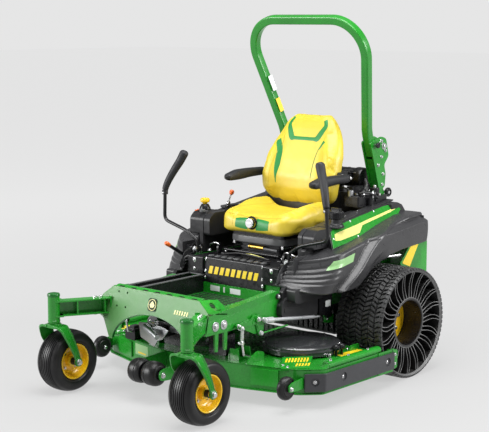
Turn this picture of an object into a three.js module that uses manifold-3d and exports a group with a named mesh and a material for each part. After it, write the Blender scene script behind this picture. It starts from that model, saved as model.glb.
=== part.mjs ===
// Zero turn mower: frame, casters, drive wheels, roll bar, seat, steering levers and mowing deck.
// Millimetres, +Z up, front towards -Y, +X on the machine's left, origin under the middle of its box.
import * as THREE from "three";
import { mergeVertices } from "three/addons/utils/BufferGeometryUtils.js";
import Module from "manifold-3d";

const wasm = await Module();
wasm.setup();

// ---------------------------------------------------------------- driving dimensions
const GAP = 0.5; // between pieces that touch
const REAR_AXLE = { y: 595, z: 305 };
const REAR_TYRE = { radius: 305, inner: 463, outer: 766, spokes: 16 };
const WHEELBASE = 1408; // caster axle to rear axle
const CASTER = { x: 479, trail: 87, radius: 165, halfWidth: 74, rim: 92.5 };
const CASTER_AXLE_Y = REAR_AXLE.y - WHEELBASE;
const KINGPIN_Y = CASTER_AXLE_Y - CASTER.trail;
const KINGPIN = { foot: 377, top: 530, radius: 31, bore: 16.5, stem: 15.5 };
const RAIL = { inner: 332, outer: 380, bottom: 392, top: 480, front: -635, rear: 945 };
const FRONT_PLATE = { topY: -622, top: 562, halfTop: 307, halfWide: 380, lean: 0.228, thick: 8 };
const FLOOR = { half: 322, z: 446, front: -612, riser: -28, deck: 640, rear: 620, sheet: 8 };
const SIDE_BIN = { inner: 219, top: 546, wall: 6 }; // open box along the right side of the foot tray
const REAR_FACE = 952;
const ROPS = { postX: 305, y: 787, z: 1300, lean: 0.329, half: 25, kneeY: 925, foot: 489 };
const HOOP = { topHalf: 206, bend: 192, rise: 685, taper: 0.2127 };
const PIVOT = { back: 85, z: 1205, radius: 9 };
const FENDER = { inner: 402, outer: 600, wall: 6 };
const SEAT = { half: 262, front: 125, back: 545, bottom: 790, top: 905 };
const ARMREST = { inner: 282, outer: 336, hinge: [589, 1072] };
const LEVER = { x: 334, y: 48, z: 667, tube: 12, grip: 17 };
const DECK = { side: 771, wall: 6, bottom: 75, top: 205, rear: 405, rearCorner: 280, cornerX: 455 };
const SPINDLES = { centre: [0, -165], side: [500, 10] };
const BLADE = { radius: 255, z: 108, thick: 6, halfWidth: 30 };
const COVER = { x: 430, y: 40, radius: 215, bottom: 235, top: 285, wall: 5 };
const BUMPER = { outer: 790, bottom: 90, top: 195, rear: 395 };
const ROLLER = { y: -695, z: 157, radius: 64, halfLong: 98 };
const CORNER_WHEEL = { x: 670, y: -384, z: 126, radius: 61, halfWidth: 21 };
const BELLCRANK = { y: -290, z: 425, inner: 390, outer: 400 };
const ENGINE = { y: 805, floor: 488, blockTop: 750, shroudTop: 960 };

// ---------------------------------------------------------------- solids
function solid(geometry) {
  const bare = new THREE.BufferGeometry();
  bare.setAttribute("position", geometry.getAttribute("position"));
  if (geometry.index) bare.setIndex(geometry.index);
  const merged = mergeVertices(bare, 1e-3);
  return new wasm.Manifold(
    new wasm.Mesh({
      numProp: 3,
      vertProperties: new Float32Array(merged.attributes.position.array),
      triVerts: new Uint32Array(merged.index.array),
    }),
  );
}

function meshData(body) {
  const data = body.getMesh();
  const points = new Float32Array(data.numVert * 3);
  for (let i = 0; i < data.numVert; i++)
    points.set(data.vertProperties.subarray(i * data.numProp, i * data.numProp + 3), i * 3);
  return { points, triangles: new Uint32Array(data.triVerts) };
}

const join = (...bodies) => bodies.reduce((a, b) => a.add(b));
const cut = (body, ...tools) => tools.reduce((a, b) => a.subtract(b), body);
const common = (a, b) => a.intersect(b);

// The same piece on the machine's right side.
function mirrored(body) {
  const { points, triangles } = meshData(body);
  for (let i = 0; i < points.length; i += 3) points[i] = -points[i];
  for (let i = 0; i < triangles.length; i += 3)
    [triangles[i + 1], triangles[i + 2]] = [triangles[i + 2], triangles[i + 1]];
  return new wasm.Manifold(new wasm.Mesh({ numProp: 3, vertProperties: points, triVerts: triangles }));
}

function box([x0, y0, z0], [x1, y1, z1]) {
  const g = new THREE.BoxGeometry(x1 - x0, y1 - y0, z1 - z0);
  return solid(g.translate((x0 + x1) / 2, (y0 + y1) / 2, (z0 + z1) / 2));
}

function extruded(outline, depth, basis, shift) {
  const shape = new THREE.Shape(outline.map(([u, v]) => new THREE.Vector2(u, v)));
  const g = new THREE.ExtrudeGeometry(shape, { depth, bevelEnabled: false });
  return solid(g.applyMatrix4(basis.setPosition(...shift)));
}

const axes = (u, v, w) =>
  new THREE.Matrix4().makeBasis(new THREE.Vector3(...u), new THREE.Vector3(...v), new THREE.Vector3(...w));

// Prisms: an outline of [y, z], [x, z] or [x, y] points, run along the third axis.
const prismX = (outline, x0, x1) => extruded(outline, x1 - x0, axes([0, 1, 0], [0, 0, 1], [1, 0, 0]), [x0, 0, 0]);
const prismY = (outline, y0, y1) => extruded(outline, y1 - y0, axes([1, 0, 0], [0, 0, 1], [0, -1, 0]), [0, y1, 0]);
const prismZ = (outline, z0, z1) => extruded(outline, z1 - z0, axes([1, 0, 0], [0, 1, 0], [0, 0, 1]), [0, 0, z0]);

function rod(from, to, radius, sides = 12, endRadius = radius) {
  const a = new THREE.Vector3(...from);
  const b = new THREE.Vector3(...to);
  const g = new THREE.CylinderGeometry(endRadius, radius, a.distanceTo(b), sides);
  const turn = new THREE.Quaternion().setFromUnitVectors(
    new THREE.Vector3(0, 1, 0),
    b.clone().sub(a).normalize(),
  );
  g.applyQuaternion(turn);
  return solid(g.translate(...a.add(b).multiplyScalar(0.5).toArray()));
}

// A ring or disc about an axis along X through [y, z], from a closed outline of [radius, x] points.
function turnedX(outline, [x, y, z], sides) {
  const loop = [...outline, outline[0]].map(([r, along]) => new THREE.Vector2(r, along));
  const g = new THREE.LatheGeometry(loop, sides);
  g.rotateZ(-Math.PI / 2);
  return solid(g.translate(x, y, z));
}

// The same about a vertical axis, from [radius, z] points.
function turnedZ(outline, [x, y, z], sides) {
  const loop = [...outline, outline[0]].map(([r, along]) => new THREE.Vector2(r, along));
  const g = new THREE.LatheGeometry(loop, sides);
  g.rotateX(Math.PI / 2);
  return solid(g.translate(x, y, z));
}

const arc = (cx, cy, radius, from, to, steps) =>
  Array.from({ length: steps + 1 }, (_, i) => {
    const a = from + ((to - from) * i) / steps;
    return [cx + radius * Math.cos(a), cy + radius * Math.sin(a)];
  });

// A path through points, with each inner corner rounded off.
function roundedPath(points, corner) {
  const path = new THREE.CurvePath();
  const at = points.map((p) => new THREE.Vector3(...p));
  const towards = (a, b, d) => b.clone().sub(a).setLength(d).add(a);
  let start = at[0];
  for (let i = 1; i < at.length - 1; i++) {
    const before = towards(at[i], at[i - 1], corner);
    const after = towards(at[i], at[i + 1], corner);
    path.add(new THREE.LineCurve3(start, before));
    path.add(new THREE.QuadraticBezierCurve3(before, at[i], after));
    start = after;
  }
  path.add(new THREE.LineCurve3(start, at[at.length - 1]));
  return path;
}

function swept(path, outline, steps) {
  const shape = new THREE.Shape(outline.map(([u, v]) => new THREE.Vector2(u, v)));
  return new THREE.ExtrudeGeometry(shape, { steps, extrudePath: path, bevelEnabled: false });
}

const circle = (radius, sides) => arc(0, 0, radius, 0, (2 * Math.PI * (sides - 1)) / sides, sides - 1);
const square = (half) => [[-half, -half], [half, -half], [half, half], [-half, half]];

// An outline (anticlockwise) with every side moved inwards.
function inset(outline, distance) {
  const n = outline.length;
  const side = (i) => {
    const [ax, ay] = outline[i];
    const [bx, by] = outline[(i + 1) % n];
    const long = Math.hypot(bx - ax, by - ay);
    const [ux, uy] = [(bx - ax) / long, (by - ay) / long];
    return { px: ax - uy * distance, py: ay + ux * distance, ux, uy };
  };
  return outline.map((_, i) => {
    const a = side((i + n - 1) % n);
    const b = side(i);
    const cross = a.ux * b.uy - a.uy * b.ux;
    const t = ((b.px - a.px) * b.uy - (b.py - a.py) * b.ux) / cross;
    return [a.px + a.ux * t, a.py + a.uy * t];
  });
}

const bothSides = (half) => [...half, ...half.map(([x, y]) => [-x, y]).reverse()];

// ---------------------------------------------------------------- frame
function frameRail() {
  const outline = [
    [RAIL.front, RAIL.bottom],
    [RAIL.rear, RAIL.bottom],
    [RAIL.rear, RAIL.top],
    [-85, RAIL.top],
    [-93, 538],
    [RAIL.front, 490],
  ];
  return prismX(outline, RAIL.inner, RAIL.outer);
}

function rearCrossmember() {
  const inside = RAIL.inner - GAP;
  const bar = box([-inside, 880, RAIL.bottom], [inside, 940, RAIL.top - 10]);
  const engineDeck = box([-inside, 640, RAIL.top - 10], [inside, 940, RAIL.top]);
  const midBar = box([-inside, 640, RAIL.bottom], [inside, 680, RAIL.top - 10]);
  const crankHole = rod([0, ENGINE.y, RAIL.top - 40], [0, ENGINE.y, RAIL.top + 10], 60, 18);
  return cut(join(bar, engineDeck, midBar), crankHole);
}

// The leaning plate between the rails, with its arch, its folded-back top edge and its corner gussets.
function frontCrossPlate() {
  const arch = arc(0, 0, 1, 0, Math.PI, 14).map(([c, s]) => [262 * c, 300 + 145 * s]);
  const outline = [
    [290, 290],
    [345, 385],
    [FRONT_PLATE.halfWide, 410],
    [FRONT_PLATE.halfWide, 508],
    [FRONT_PLATE.halfTop, FRONT_PLATE.top],
  ];
  const whole = [
    [262, 290],
    ...outline,
    ...outline.map(([x, z]) => [-x, z]).reverse(),
    [-262, 290],
    ...arch.reverse(),
  ];
  const { topY, top, lean, thick } = FRONT_PLATE;
  const shape = new THREE.Shape(whole.map(([x, z]) => new THREE.Vector2(x, z)));
  const g = new THREE.ExtrudeGeometry(shape, { depth: thick, bevelEnabled: false });
  g.applyMatrix4(axes([1, 0, 0], [0, lean, 1], [0, -1, 0]).setPosition(0, topY - top * lean, 0));
  const lip = box([-FRONT_PLATE.halfTop, topY - thick, top - 6], [FRONT_PLATE.halfTop, topY + 26, top]);
  return join(solid(g), lip);
}

// Channel arm from the rail's front end out to the caster's bearing tube, with its cap.
function casterArm() {
  const [ax, ay] = [358, -664];
  const [bx, by] = [CASTER.x, KINGPIN_Y];
  const long = Math.hypot(bx - ax, by - ay);
  const [ux, uy] = [(bx - ax) / long, (by - ay) / long];
  const wide = 30;
  const strip = (s0, s1, w0, w1) => [
    [ax + ux * s0 - uy * w0, ay + uy * s0 + ux * w0],
    [ax + ux * s1 - uy * w0, ay + uy * s1 + ux * w0],
    [ax + ux * s1 - uy * w1, ay + uy * s1 + ux * w1],
    [ax + ux * s0 - uy * w1, ay + uy * s0 + ux * w1],
  ].reverse();
  const beam = prismZ(strip(0, long, -wide, wide), 415, 498);
  const hollow = prismZ(strip(8, long - 36, -wide - 5, wide - 8), 423, 490);
  const behindPlate = box([280, -667, 380], [420, -600, 520]);
  const tube = rod([bx, by, KINGPIN.foot], [bx, by, KINGPIN.top], KINGPIN.radius, 18);
  const cap = rod([bx, by, KINGPIN.top - 1], [bx, by, KINGPIN.top + 9], KINGPIN.radius + 3, 18);
  const bore = rod([bx, by, KINGPIN.foot - 5], [bx, by, KINGPIN.top - 8], KINGPIN.bore, 12);
  return cut(join(cut(beam, hollow, behindPlate), tube, cap), bore);
}

// Floor tray, riser and the deck that the seat stands on, bent from one sheet.
function floorPan() {
  const { half, z, front, riser, deck, rear, sheet } = FLOOR;
  const bent = prismX(
    [
      [front, z - sheet],
      [riser + sheet, z - sheet],
      [riser + sheet, deck - sheet],
      [rear, deck - sheet],
      [rear, deck],
      [riser, deck],
      [riser, z],
      [front, z],
    ],
    -half,
    half,
  );
  const frontWall = box([-half, front - SIDE_BIN.wall, z - sheet], [half, front, SIDE_BIN.top]);
  const wall = (x, top) => box([x, front, z - 1], [x + SIDE_BIN.wall, riser + 1, top]);
  const binWalls = join(wall(-half, SIDE_BIN.top), wall(-SIDE_BIN.inner - SIDE_BIN.wall, SIDE_BIN.top));
  return join(bent, frontWall, binWalls, wall(half - SIDE_BIN.wall, RAIL.top));
}

function rearBumper() {
  const plate = box([-FENDER.outer, REAR_FACE, 470], [FENDER.outer, REAR_FACE + 8, 700]);
  const bar = box([-420, REAR_FACE + 7, 520], [420, 978, 580]);
  const wing = prismX(
    [
      [REAR_FACE + 1, 470],
      [REAR_FACE + 1, 700],
      [790, 685],
      [830, 640],
      [880, 570],
      [920, 470],
    ],
    FENDER.outer - 6,
    FENDER.outer,
  );
  return join(plate, bar, wing, mirrored(wing));
}

// ---------------------------------------------------------------- bodywork
const FENDER_TOP = [
  [938, 848],
  [900, 905],
  [800, 930],
  [290, 850],
  [283, 735],
  [30, 718],
];
const FENDER_FOOT = [
  [-70, 560],
  [200, 524],
  [306, 568],
  [430, 622],
  [564, 668],
  [760, 692],
  [938, 708],
];

// The fender seen from above: a bow that sweeps out from the frame to the width of the wheel.
function fenderPlan(wall) {
  const outer = FENDER.outer - wall;
  return [
    [FENDER.inner - 5, -70 + wall],
    [440 - wall, -70 + wall],
    [505 - wall, -35 + wall],
    [565 - wall, 35 + wall],
    [outer, 110],
    [outer, 938 - wall],
    [FENDER.inner - 5, 938 - wall],
  ];
}

function fender() {
  const { inner, outer, wall } = FENDER;
  const whole = prismX([...FENDER_FOOT, ...FENDER_TOP, [-60, 640]], inner, outer);
  const under = [
    [-70 + wall, 500],
    [938 - wall, 500],
    [938 - wall, 848 - wall],
    [900 - wall, 905 - wall],
    [800, 930 - wall],
    [290 + wall, 850 - wall],
    [283 + wall, 735 - wall],
    [30, 718 - wall],
    [-60 + wall, 640],
  ];
  const shell = common(whole, prismZ(fenderPlan(0), 480, 960));
  const hollow = common(prismX(under, inner - 5, outer - wall), prismZ(fenderPlan(wall), 480, 960));
  const neck = rod([440, 320, 846], [440, 320, 884], 30, 14);
  return join(cut(shell, hollow), neck);
}

function sideConsole(top) {
  const upper = box([345, 110, 738], [450, 283 - GAP, top]);
  const lower = box([345, 110, 641], [400, 283 - GAP, 739]);
  const lug = box([356, 28, 650], [368, 111, 684]);
  const bore = rod([340, LEVER.y, LEVER.z], [380, LEVER.y, LEVER.z], 9.5, 12);
  return cut(join(upper, lower, lug), bore);
}

// ---------------------------------------------------------------- power train
function engineBlock() {
  const crankcase = box([-150, 690, ENGINE.floor], [150, 915, ENGINE.blockTop]);
  const barrel = (side) => box([side > 0 ? 149 : -262, 715, 560], [side > 0 ? 262 : -149, 845, 705]);
  const fins = [0, 1, 2, 3, 4].map((i) => {
    const x = 165 + i * 19;
    return join(box([x, 705, 550], [x + 7, 855, 715]), box([-x - 7, 705, 550], [-x, 855, 715]));
  });
  const crankBore = rod([0, ENGINE.y, ENGINE.floor - 10], [0, ENGINE.y, ENGINE.blockTop + 10], 22, 12);
  return cut(join(crankcase, barrel(1), barrel(-1), ...fins), crankBore);
}

function engineShroud() {
  const outline = [...arc(0, ENGINE.y - 10, 118, -Math.PI, 0, 14), [200, 800], [200, 900], [140, 930], [-140, 930], [-200, 900], [-200, 800]];
  const shell = prismZ(outline, ENGINE.blockTop + GAP, ENGINE.shroudTop);
  const fanWell = rod([0, ENGINE.y, 800], [0, ENGINE.y, ENGINE.shroudTop + 10], 104, 32);
  const crankBore = rod([0, ENGINE.y, 700], [0, ENGINE.y, 900], 22, 12);
  return cut(shell, fanWell, crankBore);
}

// Crankshaft with the cooling fan on top and the drive pulley under the frame.
function engineFan() {
  const shaft = rod([0, ENGINE.y, 340], [0, ENGINE.y, 850], 18, 12);
  const hub = rod([0, ENGINE.y, 830], [0, ENGINE.y, 962], 40, 14);
  const blades = Array.from({ length: 8 }, (_, i) => {
    const g = new THREE.BoxGeometry(62, 5, 60).translate(66, 0, 0).rotateZ((i * Math.PI) / 4);
    return solid(g.translate(0, ENGINE.y, 900));
  });
  const pulley = turnedZ(
    [
      [0, 345],
      [75, 345],
      [75, 350],
      [58, 362],
      [75, 374],
      [75, 379],
      [0, 379],
    ],
    [0, ENGINE.y, 0],
    20,
  );
  return join(shaft, hub, ...blades, pulley);
}

function airCleaner() {
  const canister = rod([-150, 862, 1042], [225, 862, 1042], 56, 18);
  const cap = rod([224, 862, 1042], [240, 862, 1042], 62, 18);
  const bracket = box([-60, 880, ENGINE.shroudTop + GAP], [60, 900, 1000]);
  return join(canister, cap, bracket);
}

function transaxle() {
  const pump = box([232, 505, 250], [326, 690, 385]);
  const housing = rod([325, REAR_AXLE.y, REAR_AXLE.z], [450, REAR_AXLE.y, REAR_AXLE.z], 40, 14);
  const shaft = rod([449, REAR_AXLE.y, REAR_AXLE.z], [598, REAR_AXLE.y, REAR_AXLE.z], 17.5, 12);
  return join(pump, housing, shaft);
}

// ---------------------------------------------------------------- wheels
function rearTyre() {
  const half = (REAR_TYRE.outer - REAR_TYRE.inner) / 2;
  const middle = [(REAR_TYRE.outer + REAR_TYRE.inner) / 2, REAR_AXLE.y, REAR_AXLE.z];
  const ring = (r0, r1, h) => turnedX([[r0, -h], [r1, -h], [r1, h], [r0, h]], middle, 36);
  const tread = turnedX(
    [
      [284, -half + 4],
      [298, -half],
      [REAR_TYRE.radius, -half + 22],
      [REAR_TYRE.radius, half - 22],
      [298, half],
      [284, half - 4],
    ],
    middle,
    36,
  );
  const spokes = Array.from({ length: REAR_TYRE.spokes }, (_, i) => {
    const g = new THREE.BoxGeometry(2 * half - 26, 8, 152).translate(0, 0, 212);
    return solid(g.rotateX((2 * Math.PI * i) / REAR_TYRE.spokes).translate(...middle));
  });
  return join(tread, ring(127.5, 140, half - 12), ...spokes);
}

function rearRim() {
  const hub = [
    [18.5, 480],
    [60, 480],
    [60, 566],
    [127, 572],
    [127, 584],
    [60, 590],
    [18.5, 590],
  ];
  return turnedX(hub, [0, REAR_AXLE.y, REAR_AXLE.z], 32);
}

function casterTyre() {
  const { radius, halfWidth, rim } = CASTER;
  const half = [
    [rim + GAP, halfWidth - 16],
    [rim + 14, halfWidth - 4],
    [(rim + radius) / 2, halfWidth],
    [radius - 18, halfWidth - 6],
    [radius - 5, halfWidth - 22],
    [radius, halfWidth - 48],
  ];
  const outline = [...half, ...half.map(([r, x]) => [r, -x]).reverse()].reverse();
  return turnedX(outline, [CASTER.x, CASTER_AXLE_Y, CASTER.radius], 24);
}

function casterRim() {
  const r = CASTER.rim;
  const half = [
    [10.5, 64],
    [28, 64],
    [28, 10],
    [80, 10],
    [80, 58],
    [r, 58],
  ];
  const outline = [...half, ...half.map(([radius, x]) => [radius, -x]).reverse()].reverse();
  return turnedX(outline, [CASTER.x, CASTER_AXLE_Y, CASTER.radius], 24);
}

function casterFork() {
  const [x, y, z] = [CASTER.x, CASTER_AXLE_Y, CASTER.radius];
  const inner = CASTER.halfWidth + 6;
  const crown = box([x - inner - 12, KINGPIN_Y - 30, 356], [x + inner + 12, KINGPIN_Y + 30, 371]);
  const legOutline = [...arc(y, z, 22, -Math.PI * 0.95, Math.PI * 0.05, 8), [KINGPIN_Y + 30, 371], [KINGPIN_Y - 30, 371]];
  const leg = (side) => prismX(legOutline, x + (side > 0 ? inner : -inner - 12), x + (side > 0 ? inner + 12 : -inner));
  const stem = rod([x, KINGPIN_Y, 360], [x, KINGPIN_Y, KINGPIN.top - 12], KINGPIN.stem, 12);
  const axle = rod([x - inner - 20, y, z], [x + inner + 20, y, z], 9.5, 12);
  return join(crown, leg(1), leg(-1), stem, axle);
}

// ---------------------------------------------------------------- roll bar
const tilt = Math.hypot(1, ROPS.lean);
const ropsY = (z) => ROPS.y - ROPS.lean * (z - ROPS.z);
// Along the leaning plane: [0, -lean, 1] / tilt, with its backward normal.
const BACK = [1 / tilt, ROPS.lean / tilt];
const pivotAt = [ropsY(PIVOT.z) + PIVOT.back * BACK[0], PIVOT.z + PIVOT.back * BACK[1]];

const onPost = (z, back) => [ropsY(z) + back * BACK[0], z + back * BACK[1]];

function ropsPost() {
  const h = ROPS.half;
  const kneeZ = ROPS.z - (ROPS.kneeY - ROPS.y) / ROPS.lean;
  const tube = prismX(
    [
      [ROPS.kneeY - h, ROPS.foot],
      [ROPS.kneeY + h, ROPS.foot],
      [ROPS.kneeY + h, kneeZ + h * 0.2],
      onPost(1165, h),
      onPost(1165, -h),
      [ROPS.kneeY - h, kneeZ - h * 0.2],
    ],
    ROPS.postX - h,
    ROPS.postX + h,
  );
  const plateOutline = [onPost(1100, -h - 4), onPost(1100, h), onPost(1140, 120), onPost(1235, 120), onPost(1270, 60), onPost(1270, -h - 4)];
  const plates = join(
    prismX(plateOutline, ROPS.postX + h - 0.5, ROPS.postX + h + 9),
    prismX(plateOutline, ROPS.postX - h - 9, ROPS.postX - h + 0.5),
  );
  const room = prismX(
    [onPost(1166, -h - 20), onPost(1166, 140), onPost(1400, 140), onPost(1400, -h - 20)],
    ROPS.postX - h - 1,
    ROPS.postX + h + 1,
  );
  const pin = rod([ROPS.postX - h - 16, ...pivotAt], [ROPS.postX + h + 16, ...pivotAt], PIVOT.radius, 12);
  return join(cut(join(tube, plates), room), pin);
}

function ropsHoop() {
  const { topHalf, bend, rise, taper } = HOOP;
  const h = ROPS.half;
  const start = (1180 - ROPS.z) * tilt;
  const taperFoot = 37;
  const taperAngle = Math.atan(taper);
  const bends = arc(topHalf, rise - bend, bend, -taperAngle, Math.PI / 2, 12);
  const right = [[ROPS.postX, start], [ROPS.postX, taperFoot], ...bends];
  const points = [...right, ...right.map(([x, v]) => [-x, v]).reverse()];
  const path = new THREE.CurvePath();
  for (let i = 1; i < points.length; i++)
    path.add(
      new THREE.LineCurve3(new THREE.Vector3(...points[i - 1], 0), new THREE.Vector3(...points[i], 0)),
    );
  const g = swept(path, square(h - 1), 48);
  const up = [0, -ROPS.lean / tilt, 1 / tilt];
  const out = [0, -1 / tilt, -ROPS.lean / tilt];
  g.applyMatrix4(axes([1, 0, 0], up, out).setPosition(0, ROPS.y, ROPS.z));
  const knuckle = prismX(
    [onPost(1182, h - 3), onPost(1182, 78), onPost(1200, 106), onPost(1228, 106), onPost(1275, h - 3)],
    ROPS.postX - 16,
    ROPS.postX + 14,
  );
  const bore = rod([ROPS.postX - 60, ...pivotAt], [ROPS.postX + 60, ...pivotAt], PIVOT.radius + 1, 12);
  const lug = cut(knuckle, bore);
  return join(solid(g), lug, mirrored(lug));
}

// ---------------------------------------------------------------- seat
function seatBase() {
  const band = box([-208, 165, 716], [208, 560, SEAT.bottom - GAP]);
  const pedestal = box([-150, 205, FLOOR.deck + 1], [150, 500, 717]);
  return join(band, pedestal);
}

function seatCushion() {
  const { half, front, back, bottom, top } = SEAT;
  const side = [
    [front + 15, bottom],
    [back, bottom],
    [back, top + 15],
    [430, top],
    [front + 40, top - 5],
    [front, top - 40],
    [front, bottom + 25],
  ];
  const body = prismX(side, -half, half);
  const knobHole = rod([0, front - 20, 838], [0, front + 30, 838], 30, 14);
  return cut(body, knobHole);
}

function seatBack() {
  const side = [
    [548, 897],
    [640, 897],
    [652, 1050],
    [692, 1200],
    [738, 1380],
    [720, 1415],
    [668, 1415],
    [640, 1385],
    [585, 1250],
    [530, 1100],
    [520, 1000],
    [548, 925],
  ];
  const face = bothSides([
    [195, 897],
    [250, 945],
    [272, 1060],
    [266, 1180],
    [198, 1385],
    [160, 1415],
  ]);
  return common(prismX(side, -275, 275), prismY(face, 500, 750));
}

function armrest() {
  const [y, z] = ARMREST.hinge;
  const pad = prismX(
    [
      [257, 1060],
      [270, 1040],
      [330, 1034],
      [610, 1048],
      [610, 1096],
      [330, 1096],
      [275, 1086],
    ],
    ARMREST.inner,
    ARMREST.outer,
  );
  return cut(pad, rod([ARMREST.inner - 10, y, z], [ARMREST.outer + 10, y, z], 8, 12));
}

function suspensionKnob() {
  const face = SEAT.front;
  return join(rod([0, face - 14, 838], [0, face + 26, 838], 27, 18), rod([0, face - 18, 838], [0, face - 10, 838], 20, 18));
}

// ---------------------------------------------------------------- steering levers
// Yoke that carries the lever's cross pin, and itself turns on a pin in the console's lug.
function leverPivot() {
  const { x, y, z } = LEVER;
  const ear = (y0, y1) => box([x - 12, y0, z - 20], [x + 12, y1, z + 18]);
  const web = box([x - 12, y - 26, z - 25], [x + 20, y + 26, z - 18]);
  const outerPlate = box([x + 16, y - 12, z - 22], [x + 20, y + 12, z + 10]);
  const crossPin = rod([x, y - 27, z], [x, y + 27, z], 7, 10);
  const outerPin = rod([x + 19, y, z], [x + 36, y, z], 8, 10);
  return join(ear(y - 26, y - 16), ear(y + 16, y + 26), web, outerPlate, crossPin, outerPin);
}

const LEVER_BENDS = [
  [LEVER.x, LEVER.y, LEVER.z + 10],
  [LEVER.x + 2, LEVER.y, 712],
  [411, 43, 764],
  [592, 50, 810],
  [584, 46, 976],
];

function lever() {
  const { x, y, z, tube } = LEVER;
  const arm = solid(swept(roundedPath(LEVER_BENDS, 26), circle(tube, 8), 26));
  const eye = rod([x, y - 14, z], [x, y + 14, z], 14, 12);
  const bore = rod([x, y - 20, z], [x, y + 20, z], 8, 12);
  return cut(join(arm, eye), bore);
}

function leverGrip() {
  const points = [[584, 46, 984], [570, 55, 1030], [524, 90, 1130], [487, 112, 1205]];
  const path = new THREE.CatmullRomCurve3(points.map((p) => new THREE.Vector3(...p)));
  return solid(swept(path, circle(LEVER.grip, 10), 6));
}

// ---------------------------------------------------------------- mowing deck
const DECK_PLAN = [
  [150, -440],
  [400, -385],
  [676, -300],
  [DECK.side, -205],
  [DECK.side, DECK.rearCorner],
  [DECK.cornerX, DECK.rearCorner],
  [DECK.cornerX, DECK.rear],
];

function cornerWheelPost() {
  const { x, y, z } = CORNER_WHEEL;
  const arm = box([x + 27, y - 18, z - 16], [x + 35, -272, z + 40]);
  return join(arm, rod([x - 26, y, z], [x + 36, y, z], 8, 10));
}

function deckShell() {
  const plan = bothSides(DECK_PLAN);
  const outside = prismZ(plan, DECK.bottom, DECK.top);
  const inside = prismZ(inset(plan, DECK.wall), DECK.bottom - 5, DECK.top - DECK.wall);
  const rearMouth = box([-440, DECK.rear - 20, DECK.bottom - 5], [440, DECK.rear + 5, DECK.top - 30]);
  const skirt = box([DECK.side - 1, DECK.rearCorner - 20, DECK.bottom], [DECK.side + 5, BUMPER.rear, 200]);
  const spindles = [SPINDLES.centre, SPINDLES.side, [-SPINDLES.side[0], SPINDLES.side[1]]];
  const housings = spindles.map(([x, y]) => rod([x, y, 150], [x, y, 222], 46, 14));
  const bores = spindles.map(([x, y]) => rod([x, y, 140], [x, y, 230], 14, 12));
  const rollerArm = prismX([[-445, 110], [-436, 195], [-470, 200], [-725, 185], [-725, 140], [-700, 125]], 108, 116);
  const rollerAxle = rod([-122, ROLLER.y, ROLLER.z], [122, ROLLER.y, ROLLER.z], 8, 12);
  const edgeBar = box([DECK.side - 28, -150, DECK.top - 2], [DECK.side, DECK.rearCorner - 10, DECK.top + 22]);
  const shell = cut(join(cut(outside, inside), ...housings), rearMouth, ...bores);
  const extras = [skirt, rollerArm, cornerWheelPost(), edgeBar];
  return join(shell, rollerAxle, ...extras, ...extras.map(mirrored));
}

function beltCover() {
  const { x, y, radius, bottom, top, wall } = COVER;
  return turnedZ(
    [
      [0, top - wall],
      [radius - 30, top - wall - 14],
      [radius - wall, top - wall - 24],
      [radius - wall, bottom],
      [radius, bottom],
      [radius, top - 24],
      [radius - 28, top - 14],
      [0, top],
    ],
    [x, y, 0],
    28,
  );
}

function sideBumper() {
  const inner = DECK.side + 5 + GAP;
  const plan = [
    [inner, BUMPER.rear],
    [inner, -201],
    [708, -269.5],
    [708, -289],
    [BUMPER.outer, -209],
    [BUMPER.outer, BUMPER.rear],
  ];
  return prismZ(plan, BUMPER.bottom, BUMPER.top);
}

// Shaft with its blade under the deck and its belt pulley above it.
function spindle([x, y], turn) {
  const shaft = rod([x, y, BLADE.z - 2], [x, y, 256], 13, 12);
  const blade = solid(
    new THREE.BoxGeometry(2 * BLADE.radius, 2 * BLADE.halfWidth, BLADE.thick)
      .rotateZ(turn)
      .translate(x, y, BLADE.z + BLADE.thick / 2),
  );
  const collar = rod([x, y, BLADE.z + 1], [x, y, 148], 30, 12);
  const pulley = turnedZ(
    [
      [0, 226],
      [56, 226],
      [56, 229],
      [42, 238],
      [56, 247],
      [56, 250],
      [0, 250],
    ],
    [x, y, 0],
    20,
  );
  return join(shaft, blade, collar, pulley);
}

// Two barrel-shaped rollers on one sleeve.
function centreRoller() {
  const { y, z, radius, halfLong } = ROLLER;
  const half = [
    [9.5, halfLong],
    [radius - 22, halfLong],
    [radius - 6, halfLong - 14],
    [radius, halfLong - 45],
    [radius - 6, 18],
    [radius - 22, 7],
  ];
  const outline = [...half, ...half.map(([r, x]) => [r, -x]).reverse()];
  return turnedX(outline.reverse(), [0, y, z], 14);
}

function cornerWheel() {
  const { x, y, z, radius, halfWidth } = CORNER_WHEEL;
  const half = [
    [9.5, halfWidth],
    [radius - 16, halfWidth],
    [radius - 4, halfWidth - 6],
    [radius, 6],
  ];
  const outline = [...half, ...half.map(([r, along]) => [r, -along]).reverse()].reverse();
  return turnedX(outline, [x, y, z], 18);
}

function liftBellcrank() {
  const { y, z, inner, outer } = BELLCRANK;
  const outline = [
    [-440, 420],
    [-440, 398],
    [-300, 398],
    [-272, 336],
    [-252, 336],
    [-228, 408],
    [-232, 424],
    [y + 18, 445],
    [y - 18, 445],
  ];
  const plate = prismX(outline, inner, outer);
  const boss = rod([RAIL.outer + GAP, y, z], [outer + 8, y, z], 14, 12);
  return join(plate, boss);
}

// ---------------------------------------------------------------- hand controls
const ptoKnob = () => join(rod([-405, 190, 871], [-405, 190, 905], 9, 12), rod([-405, 190, 904], [-405, 190, 936], 27, 20, 22));

const fuelCap = () => join(rod([440, 320, 885], [440, 320, 925], 40, 18), rod([440, 320, 924], [440, 320, 948], 40, 24, 22));

function throttleLever() {
  const stem = rod([-412, 400, 890], [-412, 424, 935], 5, 8);
  const knob = solid(new THREE.IcosahedronGeometry(15, 1).translate(-412, 428, 944));
  const foot = rod([-404, 400, 886], [-420, 400, 886], 11, 12);
  return join(foot, stem, knob);
}

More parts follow.
